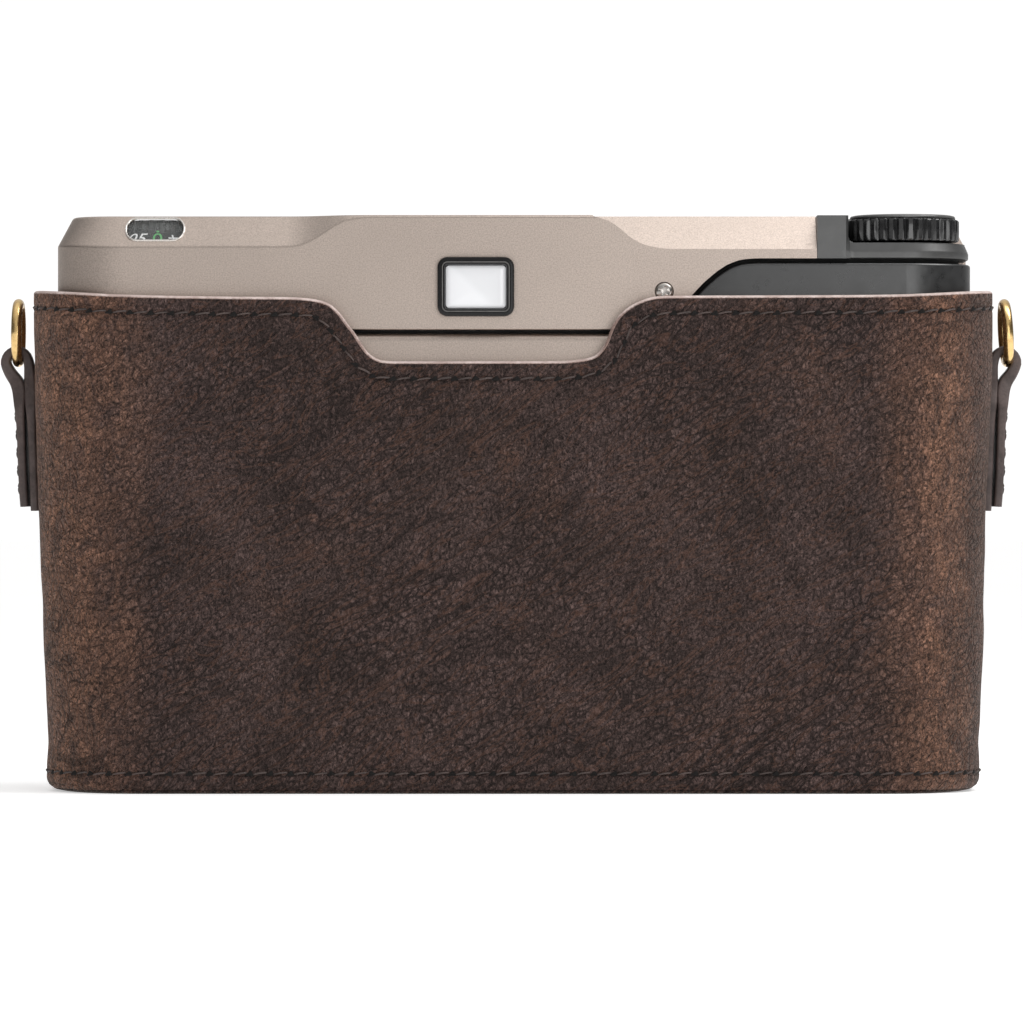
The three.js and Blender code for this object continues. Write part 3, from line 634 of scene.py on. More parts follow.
def case_plan(s):
    """reference outline against arc length, s = 0 at the middle of the back, growing towards -X; gives x, y, nx, ny"""
    a = CASE_HX - CASE_R
    b = CASE_HY - CASE_R
    q = math.pi / 2 * CASE_R
    total = 4 * a + 4 * b + 4 * q
    s = s % total
    segs = [("l", a), ("c", q), ("l", 2 * b), ("c", q), ("l", 2 * a), ("c", q), ("l", 2 * b), ("c", q), ("l", a)]
    x, y, h = 0.0, CASE_HY, math.pi  # heading towards -X
    for kind, length in segs:
        if s <= length + 1e-9:
            if kind == "l":
                return x + s * math.cos(h), y + s * math.sin(h), -math.sin(-h) * -1 if False else math.cos(h - math.pi / 2), math.sin(h - math.pi / 2)
            t = s / CASE_R
            cx, cy = x + CASE_R * math.cos(h + math.pi / 2), y + CASE_R * math.sin(h + math.pi / 2)
            h2 = h + t
            return cx + CASE_R * math.cos(h2 - math.pi / 2), cy + CASE_R * math.sin(h2 - math.pi / 2), math.cos(h2 - math.pi / 2), math.sin(h2 - math.pi / 2)
        s -= length
        if kind == "l":
            x += length * math.cos(h)
            y += length * math.sin(h)
        else:
            cx, cy = x + CASE_R * math.cos(h + math.pi / 2), y + CASE_R * math.sin(h + math.pi / 2)
            h += math.pi / 2
            x, y = cx + CASE_R * math.cos(h - math.pi / 2), cy + CASE_R * math.sin(h - math.pi / 2)
    return 0.0, CASE_HY, 0.0, 1.0


CASE_TOTAL = 4 * (CASE_HX - CASE_R) + 4 * (CASE_HY - CASE_R) + 2 * math.pi * CASE_R


def swell(x, y, z):
    """slow unevenness of hand-worked leather, in mm"""
    p = Vector((x, y, z))
    n = noise.noise(p * 0.045) * 0.34 + noise.noise(p * 0.12 + Vector((7, 3, 1))) * 0.13
    q = Vector((x * 0.16 + z * 0.10, y * 0.2, z * 0.30 - x * 0.12))
    n += noise.noise(q) * 0.055
    return n


def case_point(s, z, d=0.0, rough=True):
    """a point of the wall: s along, z up, d inwards from the outer face"""
    x, y, nx, ny = case_plan(s)
    kx = np.interp(z, [p[0] for p in HALF_TABLE], [p[1] for p in HALF_TABLE]) / CASE_HX
    ky = (18.0 + 0.4 * min(z, 71) / 71) / CASE_HY
    x, y = x * kx, y * ky
    off = -d
    if rough and d < 2.0:
        fade = min(1.0, max(0.0, z / 5.0))
        off += swell(x, y, z) * fade * (1 - d / 2.6)
    return np.array([x + nx * off + 0.15, y + ny * off, z])


# top edge: (s, z) round the case. s = -x on the back, and the front's middle is at half the round
S_BACK = [(-57.4, 71.15), (-50, 70.95), (-40, 70.8), (-33.5, 70.75), (-30.4, 70.66), (-28.0, 70.38), (-26.1, 69.75), (-24.7, 68.5), (-23.5, 66.85),
          (-22.6, 65.7), (-21.7, 64.3), (-20.8, 63.0), (-19.5, 62.0), (-17.9, 61.65), (-14, 61.6), (-5, 61.62), (4, 61.62), (8.0, 61.7), (11.0, 62.15),
          (12.2, 62.85), (13.15, 64.1), (13.65, 65.35), (14.15, 66.6), (15.0, 68.0), (16.3, 69.2), (17.8, 70.05), (19.9, 70.75), (22.5, 70.92), (27, 70.95), (40, 71.0), (50, 71.05), (57.4, 71.2)]
HALF = CASE_TOTAL / 2
# front: the lens opening, flared towards the top; x there is s - HALF, with +X at larger s
def front_pts():
    c = 2.0
    pts = []
    for t in np.linspace(-1, 1, 2):
        pass
    left = [(-37.5, 70.9), (-35.4, 70.5), (-33.9, 69.3), (-33.2, 67.6), (-32.5, 63), (-31.7, 57), (-31.0, 51), (-30.2, 45)]
    arc = []
    for i in range(1, 24):
        a = math.pi + math.pi * i / 24
        arc.append((30.2 * math.cos(a), 42.5 + 29.0 * math.sin(a)))
    right = [(-x, z) for x, z in reversed(left)]
    return [(x + c, z) for x, z in left + arc + right]


edge_ctrl = list(S_BACK)
q = math.pi / 2 * CASE_R
edge_ctrl += [(57.45 + q * 0.5, 71.7), (57.45 + q + 2, 72.1), (57.45 + q + 9.6, 72.1), (57.45 + 1.5 * q + 11.6, 71.6), (57.45 + 2 * q + 11.6, 71.1)]
for x, z in front_pts():
    edge_ctrl.append((HALF + x, z))
edge_ctrl += [(CASE_TOTAL - (57.45 + 2 * q + 11.6), 71.1), (CASE_TOTAL - (57.45 + 1.5 * q + 11.6), 71.6), (CASE_TOTAL - (57.45 + q + 9.6), 72.1),
              (CASE_TOTAL - (57.45 + q + 2), 72.1), (CASE_TOTAL - (57.45 + q * 0.5), 71.7), (CASE_TOTAL - 57.4, 71.15)]
E = catmull(edge_ctrl, 900)[:-1]
NE = len(E)
tang = np.roll(E, -1, 0) - np.roll(E, 1, 0)
tang[0] = E[1] - E[0]
tang[-1] = E[-1] - E[-2]
tang /= np.linalg.norm(tang, axis=1)[:, None]
nrm = np.stack([-tang[:, 1], tang[:, 0]], 1)  # away from the leather
for _ in range(3):
    nrm = (np.roll(nrm, 1, 0) + nrm * 2 + np.roll(nrm, -1, 0))
    nrm /= np.linalg.norm(nrm, axis=1)[:, None]

STITCH_IN = 2.55
STITCH_PITCH = 2.95
BOTTOM_STITCH_Z = 2.85


def groove(e):
    """how far the surface sinks near a stitch line, e from the edge"""
    return 0.16 * math.exp(-((e - STITCH_IN) / 0.38) ** 2)


wall_profile = []  # (offset from the edge, depth, material) from the outer side over the top to the inner side
offsets = [3.6, 3.25, 3.0, 2.8, 2.65, 2.5, 2.35, 2.15, 1.9, 1.6, 1.25, 0.95]
cap = [(0.42, 0.0), (0.27, 0.06), (0.13, 0.20), (0.04, 0.42), (0.0, 0.75), (0.0, 1.15), (0.07, 1.34), (0.13, 1.42), (0.07, 1.50), (0.02, 1.70), (0.05, 2.05), (0.16, 2.35), (0.36, 2.52), (0.7, 2.6)]
NZ = 84
Z0 = 0.5
verts, mids = [], []
cols = []
base_s = E[:, 0] - 3.6 * nrm[:, 0]
mono = (np.maximum.accumulate(base_s) + np.minimum.accumulate(base_s[::-1])[::-1]) / 2
mono = mono + 0.002 * np.arange(NE) - 0.001 * NE
shift_s = mono - base_s
for i in range(NE):
    ex, nx2 = E[i], nrm[i]
    base = ex - 3.6 * nx2 + np.array([shift_s[i], 0])
    col = []
    zs = np.linspace(0, 1, NZ)
    # denser rows near the base for its stitch line
    zrow = [Z0, 0.9, 1.5, 2.0, 2.35, 2.6, 2.75, 2.9, 3.05, 3.3, 3.7, 4.3, 5.0]
    rest = np.linspace(5.0, base[1], NZ - len(zrow) + 1)[1:]
    for zz in zrow + list(rest):
        d = 0.14 * math.exp(-((zz - BOTTOM_STITCH_Z) / 0.36) ** 2)
        if zz < 1.0:
            d += (1.0 - zz) * 0.25
        col.append((base[0], zz, d))
    for o in offsets[1:]:
        p = ex - o * nx2 + np.array([shift_s[i] * (o / 3.6) ** 2, 0])
        col.append((p[0], p[1], groove(o)))
    for o, d in cap:
        p = ex - o * nx2
        col.append((p[0], p[1], d))
    p = ex - 1.5 * nx2
    col.append((p[0], p[1], 2.6))
    inner_top = ex - 3.0 * nx2
    for zz in np.linspace(inner_top[1], Z0, 18):
        col.append((inner_top[0], zz, 2.6))
    cols.append(col)
NC = len(cols[0])
wall_v = np.zeros((NE * NC, 3))
for i, col in enumerate(cols):
    for j, (s, z, d) in enumerate(col):
        wall_v[i * NC + j] = case_point(s, z, d)
wall_f = grid_faces(NE, NC, True, True)
n_out = NZ + len(offsets) - 1
mi = []
for i in range(NE):
    for j in range(NC):
        if j < n_out:
            mi.append(0)
        elif j < n_out + len(cap) - 2:
            mi.append(1)
        else:
            mi.append(2)
wall = mesh_object("case_wall_skin", wall_v, wall_f, [MATS["leather"], MATS["edge"], MATS["lining"]], mi, 60)
place(wall, "half_case", ["case_wall"])

# base: a thin sole with a thicker inner board, holed for the case screw
SCREW = ((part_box("case_screw")[0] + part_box("case_screw")[1]) / 2) * 1000


def plan_ring(inset, z, n=220):
    out = []
    for i in range(n):
        s = CASE_TOTAL * i / n
        p = case_point(s, z, inset, False)
        out.append((p[0], p[1], z))
    return out


base_rings = [plan_ring(0.45, 0.0), plan_ring(0.12, 0.08), plan_ring(-0.05, 0.28), plan_ring(0.05, 0.46), plan_ring(2.75, 0.47), plan_ring(2.8, 2.2), plan_ring(3.0, 2.35)]
bv, bf = loft(base_rings)
base = mesh_object("case_base_sole", bv, bf, [MATS["leather_base"]], sharp=50)
cut(base, [lathe([(0, -1), (8.6, -1), (8.6, 3), (0, 3)], 72, (SCREW.x, SCREW.y))])
base.data.set_sharp_from_angle(angle=math.radians(50))
place(base, "half_case", ["case_base"])

# stitches: waxed thread over a groove, with needle holes between
def stitch_run(points, closed, name, tilt=0.16):
    """points: dense (s, z) path of the stitch line"""
    p = np.asarray(points, float)
    if closed:
        p = np.vstack([p, p[0] + np.array([CASE_TOTAL, 0])])
    L = np.r_[0, np.cumsum(np.linalg.norm(np.diff(p, axis=0), axis=1))]
    n = int(round(L[-1] / STITCH_PITCH))
    pitch = L[-1] / n
    parts = []

    def on(u):
        return np.array([np.interp(u, L, p[:, 0]), np.interp(u, L, p[:, 1])])

    rng = np.random.default_rng(5)
    for k in range(n):
        j1, j2, j3 = rng.uniform(-1, 1, 3)
        a, b = k * pitch + 0.30, (k + 1) * pitch - 0.30
        A, B = on(a), on(b)
        t = (B - A) / np.linalg.norm(B - A)
        w = np.array([-t[1], t[0]])
        path, rad = [], []
        for q2 in np.linspace(0, 1, 9):
            c = A + (B - A) * q2 + w * (tilt * (q2 - 0.5) * 2 + 0.05 * j1 + 0.10 * (1 - (2 * q2 - 1) ** 2))
            lift = 0.13 - 0.45 * (abs(q2 - 0.5) * 2) ** 3.2
            path.append(case_point(c[0], c[1], -(lift - 0.10 + 0.03 * j2)))
            rad.append(0.145 + 0.02 * j3 - 0.03 * (abs(q2 - 0.5) * 2) ** 2)
        v, f = tube(path, rad, 8)
        parts.append((v, f, 0))
        # needle hole at the stitch's end, lined with near-black as painted shade
        c = on(k * pitch) + np.array([0, 0.02 * j2])
        hv, hf = [], []
        m = 12
        for r, dep in ((0.43, 0.055), (0.30, 0.10), (0.12, 0.12)):
            for i in range(m):
                a2 = 2 * math.pi * i / m
                e1 = t * (math.cos(a2) * r * 1.18 + math.sin(a2) * r * 0.30) + w * math.sin(a2) * r * 0.80
                e1 = e1 * (1 + 0.30 * math.cos(3 * a2 + 1.2 + j1))
                hv.append(case_point(c[0] + e1[0], c[1] + e1[1], 0.10 - dep))
        for ring in range(2):
            for i in range(m):
                i2 = (i + 1) % m
                hf.append((ring * m + i, ring * m + i2, (ring + 1) * m + i2, (ring + 1) * m + i))
        hf.append(tuple(2 * m + i for i in range(m)))
        # closed underside
        under = len(hv)
        for i in range(m):
            a2 = 2 * math.pi * i / m
            e1 = t * math.cos(a2) * 0.3 + w * math.sin(a2) * 0.35
            hv.append(case_point(c[0] + e1[0], c[1] + e1[1], 0.45))
        for i in range(m):
            i2 = (i + 1) % m
            hf.append((i2, i, under + i, under + i2))
        hf.append(tuple(under + i for i in reversed(range(m))))
        parts.append((np.array(hv), hf, 1))
    return join_meshes(name, parts, [MATS["thread"], MATS["hole"]])


top_line = [E[i] - STITCH_IN * nrm[i] for i in range(NE)]
place(stitch_run(top_line, True, "case_top_stitching"), "half_case", ())
bottom_line = [(CASE_TOTAL * i / 500, BOTTOM_STITCH_Z) for i in range(500)]
place(stitch_run(bottom_line, True, "case_base_stitching"), "half_case", ())

# ------------------------------------------------------------------------------------------------
# strap tabs and rings
# ------------------------------------------------------------------------------------------------
HZ, RX = 61.9, 71.75


def tab(side, sgn):
    """a narrow strap folded round the ring: its two layers lie on each other and on the case's end"""
    th = 1.2
    pull_in = 0.0 if sgn > 0 else 0.85
    # middle line of the strap, from the inner layer's foot up round the ring's wire and down the outer layer
    mid = [(69.3, 40.3), (69.5, 46), (69.72, 52), (69.92, 56), (70.12, 58.2), (70.22, 60), (70.36, 61.6), (70.8, 62.9), (71.7, 63.55), (72.6, 63.45), (73.4, 62.8), (73.68, 61.7),
           (73.05, 60.3), (72.15, 59.0), (71.72, 57.8), (71.55, 56), (71.32, 52), (71.1, 46), (70.82, 40.9)]
    c = catmull(mid, 110)
    t = np.gradient(c, axis=0)
    t /= np.linalg.norm(t, axis=1)[:, None]
    nn = np.stack([-t[:, 1], t[:, 0]], 1)
    rings = []
    for i in range(len(c)):
        z = c[i][1]
        w = float(np.interp(z, [39, 55.5, 59.5, 70], [4.0, 4.0, 1.8, 1.8]))
        e = min(1.0, min(i, len(c) - 1 - i) / 3.0)
        w *= 0.88 + 0.12 * e
        u = i / (len(c) - 1)
        fat = th + 0.55 * math.exp(-((u - 0.36) / 0.075) ** 2) + 0.75 * math.exp(-((u - 0.635) / 0.07) ** 2)
        sec = rounded_rect(-w, w, -fat / 2, fat / 2, 0.38, 5)
        rings.append([(sgn * (c[i][0] - pull_in + nn[i][0] * b), a, c[i][1] + nn[i][1] * b) for a, b in sec])
    v, f = loft(rings)
    n = len(rings[0])
    idx = []
    for k in range(len(rings) - 1):
        for j in range(n):
            a = rings[k][j]
            w = max(abs(p[1]) for p in rings[k])
            b2 = rings[k][(j + 1) % n]
            idx.append(1 if min(abs(a[1]), abs(b2[1])) > w - 0.22 else 0)
    idx += [1, 1]
    o = mesh_object(f"tab_{side}_strap", v, f, [MATS["tab"], MATS["tab_edge"]], idx, 50)
    place(o, "half_case", [f"tab_{side}"])
    # stitches down both long edges of the strap
    parts = []
    for y in (-3.1, 3.1):
        for z in np.arange(42.2, 54.5, 2.6):
            path = []
            for u in np.linspace(0, 1, 7):
                zz = z + 0.25 + 2.1 * u
                x = float(np.interp(zz, [40.9, 46, 52, 56, 57.6], [70.82, 71.1, 71.32, 71.6, 71.9])) + th / 2
                path.append((sgn * (x - pull_in + 0.10 - 0.35 * (abs(u - 0.5) * 2) ** 3), y, zz))
            tv, tf = tube(path, 0.12, 7)
            parts.append((tv, tf, 0))
    place(join_meshes(f"tab_{side}_stitching", parts, [MATS["thread"]]), "half_case", ())


tab("left", 1)
tab("right", -1)


def ring(side, sgn, turn_deg, lean_deg, x0):
    R, r = 4.2, 0.76
    n, m = 96, 20
    a, b0 = math.radians(turn_deg), math.radians(lean_deg)
    v = []
    for i in range(n):
        t = 2 * math.pi * i / n
        for k in range(m):
            b = 2 * math.pi * k / m
            rr = R + r * math.cos(b)
            x, y, z = r * math.sin(b), rr * math.sin(t), rr * math.cos(t) + R
            x, y = x * math.cos(a) + y * math.sin(a), y * math.cos(a) - x * math.sin(a)
            x, z = x * math.cos(b0) - z * math.sin(b0), z * math.cos(b0) + x * math.sin(b0)
            v.append((sgn * (x0 + x), y, HZ + z))
    o = mesh_object(f"strap_ring_{side}", v, grid_faces(n, m, True, True), [MATS["brass"]], sharp=None)
    place(o, f"{side}_ring", [f"ring_{side}"])


ring("left", 1, 0.0, 0.5, 71.95)
ring("right", -1, 0.6, 3.2, 71.6)

# ------------------------------------------------------------------------------------------------
# camera envelope
# ------------------------------------------------------------------------------------------------
HX, YR, YF, CR = 65.8, 15.2, -15.0, 10.0
TOP, BEV = 82.55, 5.0
CREASE_PTS = [(-60.0, 77.8), (-43.3, 77.8), (-30, 77.8), (-24.5, 77.8), (-22.4, 77.82), (-20.7, 78.0), (-18.56, 78.55), (-16.84, 79.5), (-15.41, 80.7), (-14.09, 81.6), (-12.6, 82.1), (-11.0, 82.27),
              (20.5, 82.27), (22.6, 82.15), (24.1, 81.85), (25.6, 81.1), (27.3, 80.0), (29.0, 78.95), (30.4, 78.35), (31.9, 78.1), (34, 78.08), (50, 78.05), (56.4, 78.0)]


def body_plan(n_corner=18, step=0.6):
    """(x, y, nx, ny) round the body, anticlockwise from above, starting at the back's left end (+X)"""
    out = []
    xs = np.arange(HX - CR, -(HX - CR) - 1e-6, -step)
    for x in xs:
        out.append((x, YR, 0, 1))
    def arc(cx, cy, a0):
        for i in range(1, n_corner):
            a = math.radians(a0 + 90 * i / n_corner)
            out.append((cx + CR * math.cos(a), cy + CR * math.sin(a), math.cos(a), math.sin(a)))
    arc(-(HX - CR), YR - CR, 90)
    for y in np.linspace(YR - CR, YF + CR, 14):
        out.append((-HX, y, -1, 0))
    arc(-(HX - CR), YF + CR, 180)
    for x in np.arange(-(HX - CR), HX - CR + 1e-6, 2.4):
        out.append((x, YF, 0, -1))
    arc(HX - CR, YF + CR, 270)
    for y in np.linspace(YF + CR, YR - CR, 14):
        out.append((HX, y, 1, 0))
    arc(HX - CR, YR - CR, 0)
    return out


PLAN = body_plan()


def fillet(path, radii, n=4):
    """(i, z) polyline with rounded inner corners"""
    p = [np.array(a, float) for a in path]
    out = [tuple(p[0])]
    for k in range(1, len(p) - 1):
        a, b, c = p[k - 1], p[k], p[k + 1]
        u, w = a - b, c - b
        lu, lw = np.linalg.norm(u), np.linalg.norm(w)
        u, w = u / lu, w / lw
        cosang = float(np.clip(u @ w, -1, 1))
        half = math.acos(cosang) / 2
        tl = min(radii[k - 1] / max(math.tan(half), 1e-3), 0.46 * lu, 0.46 * lw)
        P, Q = b + u * tl, b + w * tl
        for j in range(n + 1):
            t = j / n
            out.append(tuple((1 - t) ** 2 * P + 2 * t * (1 - t) * b + t * t * Q))
    out.append(tuple(p[-1]))
    return out


def crease_of(x, y, nx, ny):
    """(crease height, inset at the top) for a plan point"""
    side = abs(nx)
    if ny > 0.02 or (abs(nx) > 0.98):
        c = curve_at(CREASE_PTS, x)
        t = max(0.30, BEV * (TOP - c) / (TOP - 77.7))
        wt = min(1.0, max(0.0, side)) ** 1.5
        c2, t2 = 78.35, 2.25
        c, t = c * (1 - wt) + c2 * wt, t * (1 - wt) + t2 * wt
        if ny <= 0.02:
            # along the end; the fade towards the front corner is held at zero
            f = 0.0
            c, t = c2 * (1 - f) + 81.6 * f, t2 * (1 - f) + 0.7 * f
        return c, t
    # front half of the body
    wt = min(1.0, max(0.0, side)) ** 1.5
    return 81.7 * (1 - wt) + 78.35 * wt, 0.8 * (1 - wt) + 2.25 * wt


def top_shell():
    z0 = 66.15
    outer, inner = [], []
    for x, y, nx, ny in PLAN:
        c, t = crease_of(x, y, nx, ny)
        oc, ot = (82.25, 0.30) if ny > 0.02 and x < 4 else (c, t)
        pr = fillet([(0.0, z0), (0.0, oc), (ot, TOP), (ot + 3.0, TOP)], [0.7, 0.8], 5)
        # a few rows up the flat wall
        pr = [(0.12, z0), (0.0, z0 + 0.12), (0.0, z0 + 3), (0.0, z0 + 7)] + pr[1:]
        outer.append([(x - nx * i, y - ny * i, z) for i, z in pr])
        if ny > 0.02 and -24.6 < x < -5:
            c, t = 77.8, 4.9
        pi = [(1.35, z0), (1.35, z0 + 5), (1.35, c - 0.75), (t + 0.75, TOP - 1.35), (t + 3.2, TOP - 1.35)]
        inner.append([(x - nx * i, y - ny * i, z) for i, z in pi])
    n, m1, m2 = len(PLAN), len(outer[0]), len(inner[0])
    v = [p for r in outer for p in r] + [p for r in inner for p in r]
    f = grid_faces(n, m1, True, False)
    g = grid_faces(n, m2, True, False)
    off = n * m1
    f += [tuple(off + a for a in reversed(q)) for q in g]
    for i in range(n):
        j = (i + 1) % n
        f.append((i * m1, j * m1, off + j * m2, off + i * m2))
    f.append(tuple(i * m1 + m1 - 1 for i in range(n)))
    f.append(tuple(off + i * m2 + m2 - 1 for i in reversed(range(n))))
    return mesh_object("top_cover_shell", v, f, [MATS["titanium"]], sharp=50)


GROOVE = [(-24.0, 69.0), (-26.07, 71.35), (-27.4, 72.75), (-29.14, 74.22), (-30.54, 75.14), (-31.94, 75.72), (-33.34, 75.97), (-34.7, 76.03), (-80, 76.03)]


def groove_z(x, side):
    """height of the groove's edge: side +1 above, -1 below"""
    z = curve_at(GROOVE, x)
    z2 = curve_at(GROOVE, x - 0.3)
    slope = abs(z2 - z) / 0.3
    return z + side * 0.32 * math.sqrt(1 + slope * slope)


top = top_shell()
cut_poly = [(x, groove_z(x, 1)) for x in (-24.3, -25.4, -26.2, -27.0, -27.6, -28.2, -28.9, -29.6, -30.4, -31.2, -32.1, -33.1, -34.5, -36.0)] + [(-80, 76.35), (-80, 60), (-22.0, 60), (-22.0, 67.2)]
EYE = ((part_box("eyepiece_frame")[0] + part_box("eyepiece_frame")[1]) / 2) * 1000
EX, EZ = EYE.x + 0.05, EYE.z + 0.17
CX, CY = 51.0, 3.0
WX, WZ = 51.37, 80.6
slope_y = lambda z: YR - 1.0417 * (z - 78.05)
slot_pts = rounded_rect(WX - 4.12, WX + 4.12, WZ - 1.62, WZ + 1.62, 1.55, 10)
cutters = [
    extrude_y(cut_poly, -3.3, 40),
    box_mesh(-80, -43.25, -3.3, 40, 75, 90),
    extrude_y(rounded_rect(EX - 5.0, EX + 5.0, EZ - 3.7, EZ + 3.7, 0.8, 5), 8, 30),
    loft([[(x, slope_y(z) - 4.5, z) for x, z in slot_pts], [(x, 25, z) for x, z in slot_pts]]),
    lathe([(0, 78), (6.5, 78), (6.5, 90), (0, 90)], 72, (CX, CY)),
    lathe([(0, 78), (7.1, 78), (7.1, 90), (0, 90)], 72, (-30, -4)),
    lathe([(0, 78), (3.3, 78), (3.3, 90), (0, 90)], 48, (-56, -9.2)),
    box_mesh(-18.2, -7.8, -9.2, -2.8, 78, 90),
    extrude_y(rounded_rect(EX - 6.3, EX + 6.1, 68.5, 76.3, 0.9, 5), -30, -10),
    extrude_y(rounded_rect(-16.2, -8.8, 69.6, 75.2, 0.8, 5), -30, -10),
    extrude_y(rounded_rect(21.8, 29.2, 69.6, 75.2, 0.8, 5), -30, -10),
    lathe([(0, -30), (1.9, -30), (1.9, -10), (0, -10)], 40, (-30, 72.2), "Y"),
]
cut(top, cutters)
K = 0.955
wedge_poly = [(YR + 3, 77.68 - 3 * K), (YR + 3, 95), (YR - 8, 95), (YR - 8, 77.68 + 8 * K)]
wv0, wf0 = loft([[(-90, y, z) for y, z in wedge_poly], [(-8, y, z) for y, z in wedge_poly]])
wedge = mesh_object("wedge", wv0, wf0, [], sharp=None)
S_CURVE = catmull([(-11.0, 83.4), (-11.2, 82.5), (-12.6, 82.0), (-13.77, 81.55), (-15.13, 80.62), (-16.5, 79.46), (-17.87, 78.63), (-19.3, 78.12), (-21.96, 77.70), (-24.5, 77.55), (-28, 77.3)], 60)
s_poly = [(float(x), float(z)) for x, z in S_CURVE] + [(-95, 76.8), (-95, 99), (-11.0, 99)]
cut(wedge, [extrude_y(s_poly, -5, 30)], "INTERSECT")
wq = np.zeros(len(wedge.data.vertices) * 3)
wedge.data.vertices.foreach_get("co", wq)
wedge_mesh = (wq.reshape(-1, 3) / MM, [tuple(f.vertices) for f in wedge.data.polygons])
wd = wedge.data
bpy.data.objects.remove(wedge)
bpy.data.meshes.remove(wd)
cut(top, [wedge_mesh])
soften(top, 0.16, 2, 40)
top.data.set_sharp_from_angle(angle=math.radians(35))
place(top, "camera", ["top_cover"])

# bright machined rim round the compensation window
rim_path = []
for x, z in rounded_rect(WX - 4.17, WX + 4.17, WZ - 1.67, WZ + 1.67, 1.60, 14):
    rim_path.append((x, slope_y(z) + 0.02, z))
rv, rf = tube(rim_path, 0.16, 8, True)
place(mesh_object("comp_window_rim", rv, rf, [MATS["titanium_edge"]]), "camera", ())
pane_pts = rounded_rect(WX - 3.95, WX + 3.95, WZ - 1.52, WZ + 1.52, 1.45, 10)
pv, pf = loft([[(x, slope_y(z) - 0.95, z) for x, z in pane_pts], [(x, slope_y(z) - 0.45, z) for x, z in pane_pts]])
clear = Mat("clear_pane")
clear.put("Base Color", (0.9, 0.93, 0.92))
clear.put("Roughness", clear.ramp(clear.noise(900, 2, 0.5), [(0.4, 0.02), (0.8, 0.06)]))
clear.b.inputs["Alpha"].default_value = 0.06
clear.b.inputs["Specular IOR Level"].default_value = 0.25
place(mesh_object("comp_window_pane", pv, pf, [clear.m]), "camera", ["comp_window"])

# drum under the window, with its scale
drum_prof = [(0, 75.4), (10.5, 75.4), (10.5, 76.3), (10.1, 76.8), (6.0, 80.45), (5.5, 80.5), (0, 80.5)]
slope_r = (10.1 - 6.0) / (80.45 - 76.8)
dv, df = lathe(drum_prof, 96, (CX, CY))
drum = mesh_object("comp_scale_drum", dv, df, [MATS["drum"]], sharp=40)
place(drum, "comp_dial", ["comp_drum"])


def drum_mark(v, f, angle, z, mat, k, tilt_fit=True):
    """lays flat glyphs on the drum's cone: local x along the rim, local y up the slope"""
    out = []
    cone = math.atan2(1.0, slope_r)  # slope from the horizontal
    for x, y, h in v:
        zz = z + y * math.sin(cone)
        r = 10.1 - slope_r * (zz - 76.8)
        a = math.radians(90 + angle) - x / max(r, 1)
        # seen from the back, +x on the glyph runs towards -X
        rr = r + h * math.sin(cone)
        out.append((CX + rr * math.cos(a) * 1.0, CY + rr * math.sin(a), zz + h * math.cos(cone)))
    return out, f, k


marks = []
# local glyph x is flipped by the mapping above so that it reads from behind
for word, ang, k, size in (("05", 25.8, 0, 3.1), ("0", 1.4, 1, 3.1), ("+", -16.8, 0, 2.9), (".", 1.6, 1, 4.2)):
    v, f = text_mesh(word, size, 0.03)
    v = np.array(v)
    v[:, 1] *= 1.0
    marks.append(drum_mark([(-a, b, c) for a, b, c in v], f, -ang, 81.15 if word == "." else 79.35, None, k))
place(join_meshes("comp_scale_marks", [(np.array(v), f, k) for v, f, k in marks], [MATS["white"], MATS["green"]]), "comp_dial", ())


def knurled(r, depth, ribs, z0, z1, ch, centre, name, mat, body, nodes, top_in=0.0, flatness=0.5, extra=None, n_top=1.2):
    """ribbed rim with chamfered ends"""
    per = 10
    rings = []
    def ring_at(scale_r, z, d):
        out = []
        for i in range(ribs * per):
            t = (i % per) / per
            # rounded rib and a narrow valley
            q2 = 0.5 - 0.5 * math.cos(2 * math.pi * t)
            q2 = min(1.0, q2 * 1.9) ** 0.8
            rr = scale_r - d * (1 - q2)
            a = 2 * math.pi * i / (ribs * per)
            out.append((centre[0] + rr * math.cos(a), centre[1] + rr * math.sin(a), z))
        return out
    rings.append(ring_at(r - ch * 1.6, z0, 0.0))
    rings.append(ring_at(r - ch * 0.5, z0 + ch * 0.35, depth * 0.6))
    rings.append(ring_at(r, z0 + ch, depth))
    rings.append(ring_at(r, (z0 + z1) / 2, depth))
    rings.append(ring_at(r, z1 - ch, depth))
    rings.append(ring_at(r - ch * 0.4, z1 - ch * 0.35, depth * 0.7))
    rings.append(ring_at(r - ch * n_top, z1, 0.0))
    v, f = loft(rings)
    parts = [(v, f, 0)]
    if extra:
        parts += extra
    o = join_meshes(name, parts, mat, 32)
    place(o, body, nodes)
    return o


# ------------------------------------------------------------------------------------------------
# back door, thumb panel, and near-black strips behind their seams as painted shade
# ------------------------------------------------------------------------------------------------


def rear_plan(s):
    """s along the body's back from its middle towards -X, round the corner; negative towards +X"""
    sg = 1 if s >= 0 else -1
    a = abs(s)
    if a <= HX - CR:
        return -sg * a, YR, 0.0, 1.0
    a -= HX - CR
    if a <= math.pi / 2 * CR:
        t = a / CR
        return -sg * (HX - CR + CR * math.sin(t)), YR - CR + CR * math.cos(t), -sg * math.sin(t), math.cos(t)
    a -= math.pi / 2 * CR
    return -sg * HX, YR - CR - a, -sg * 1.0, 0.0


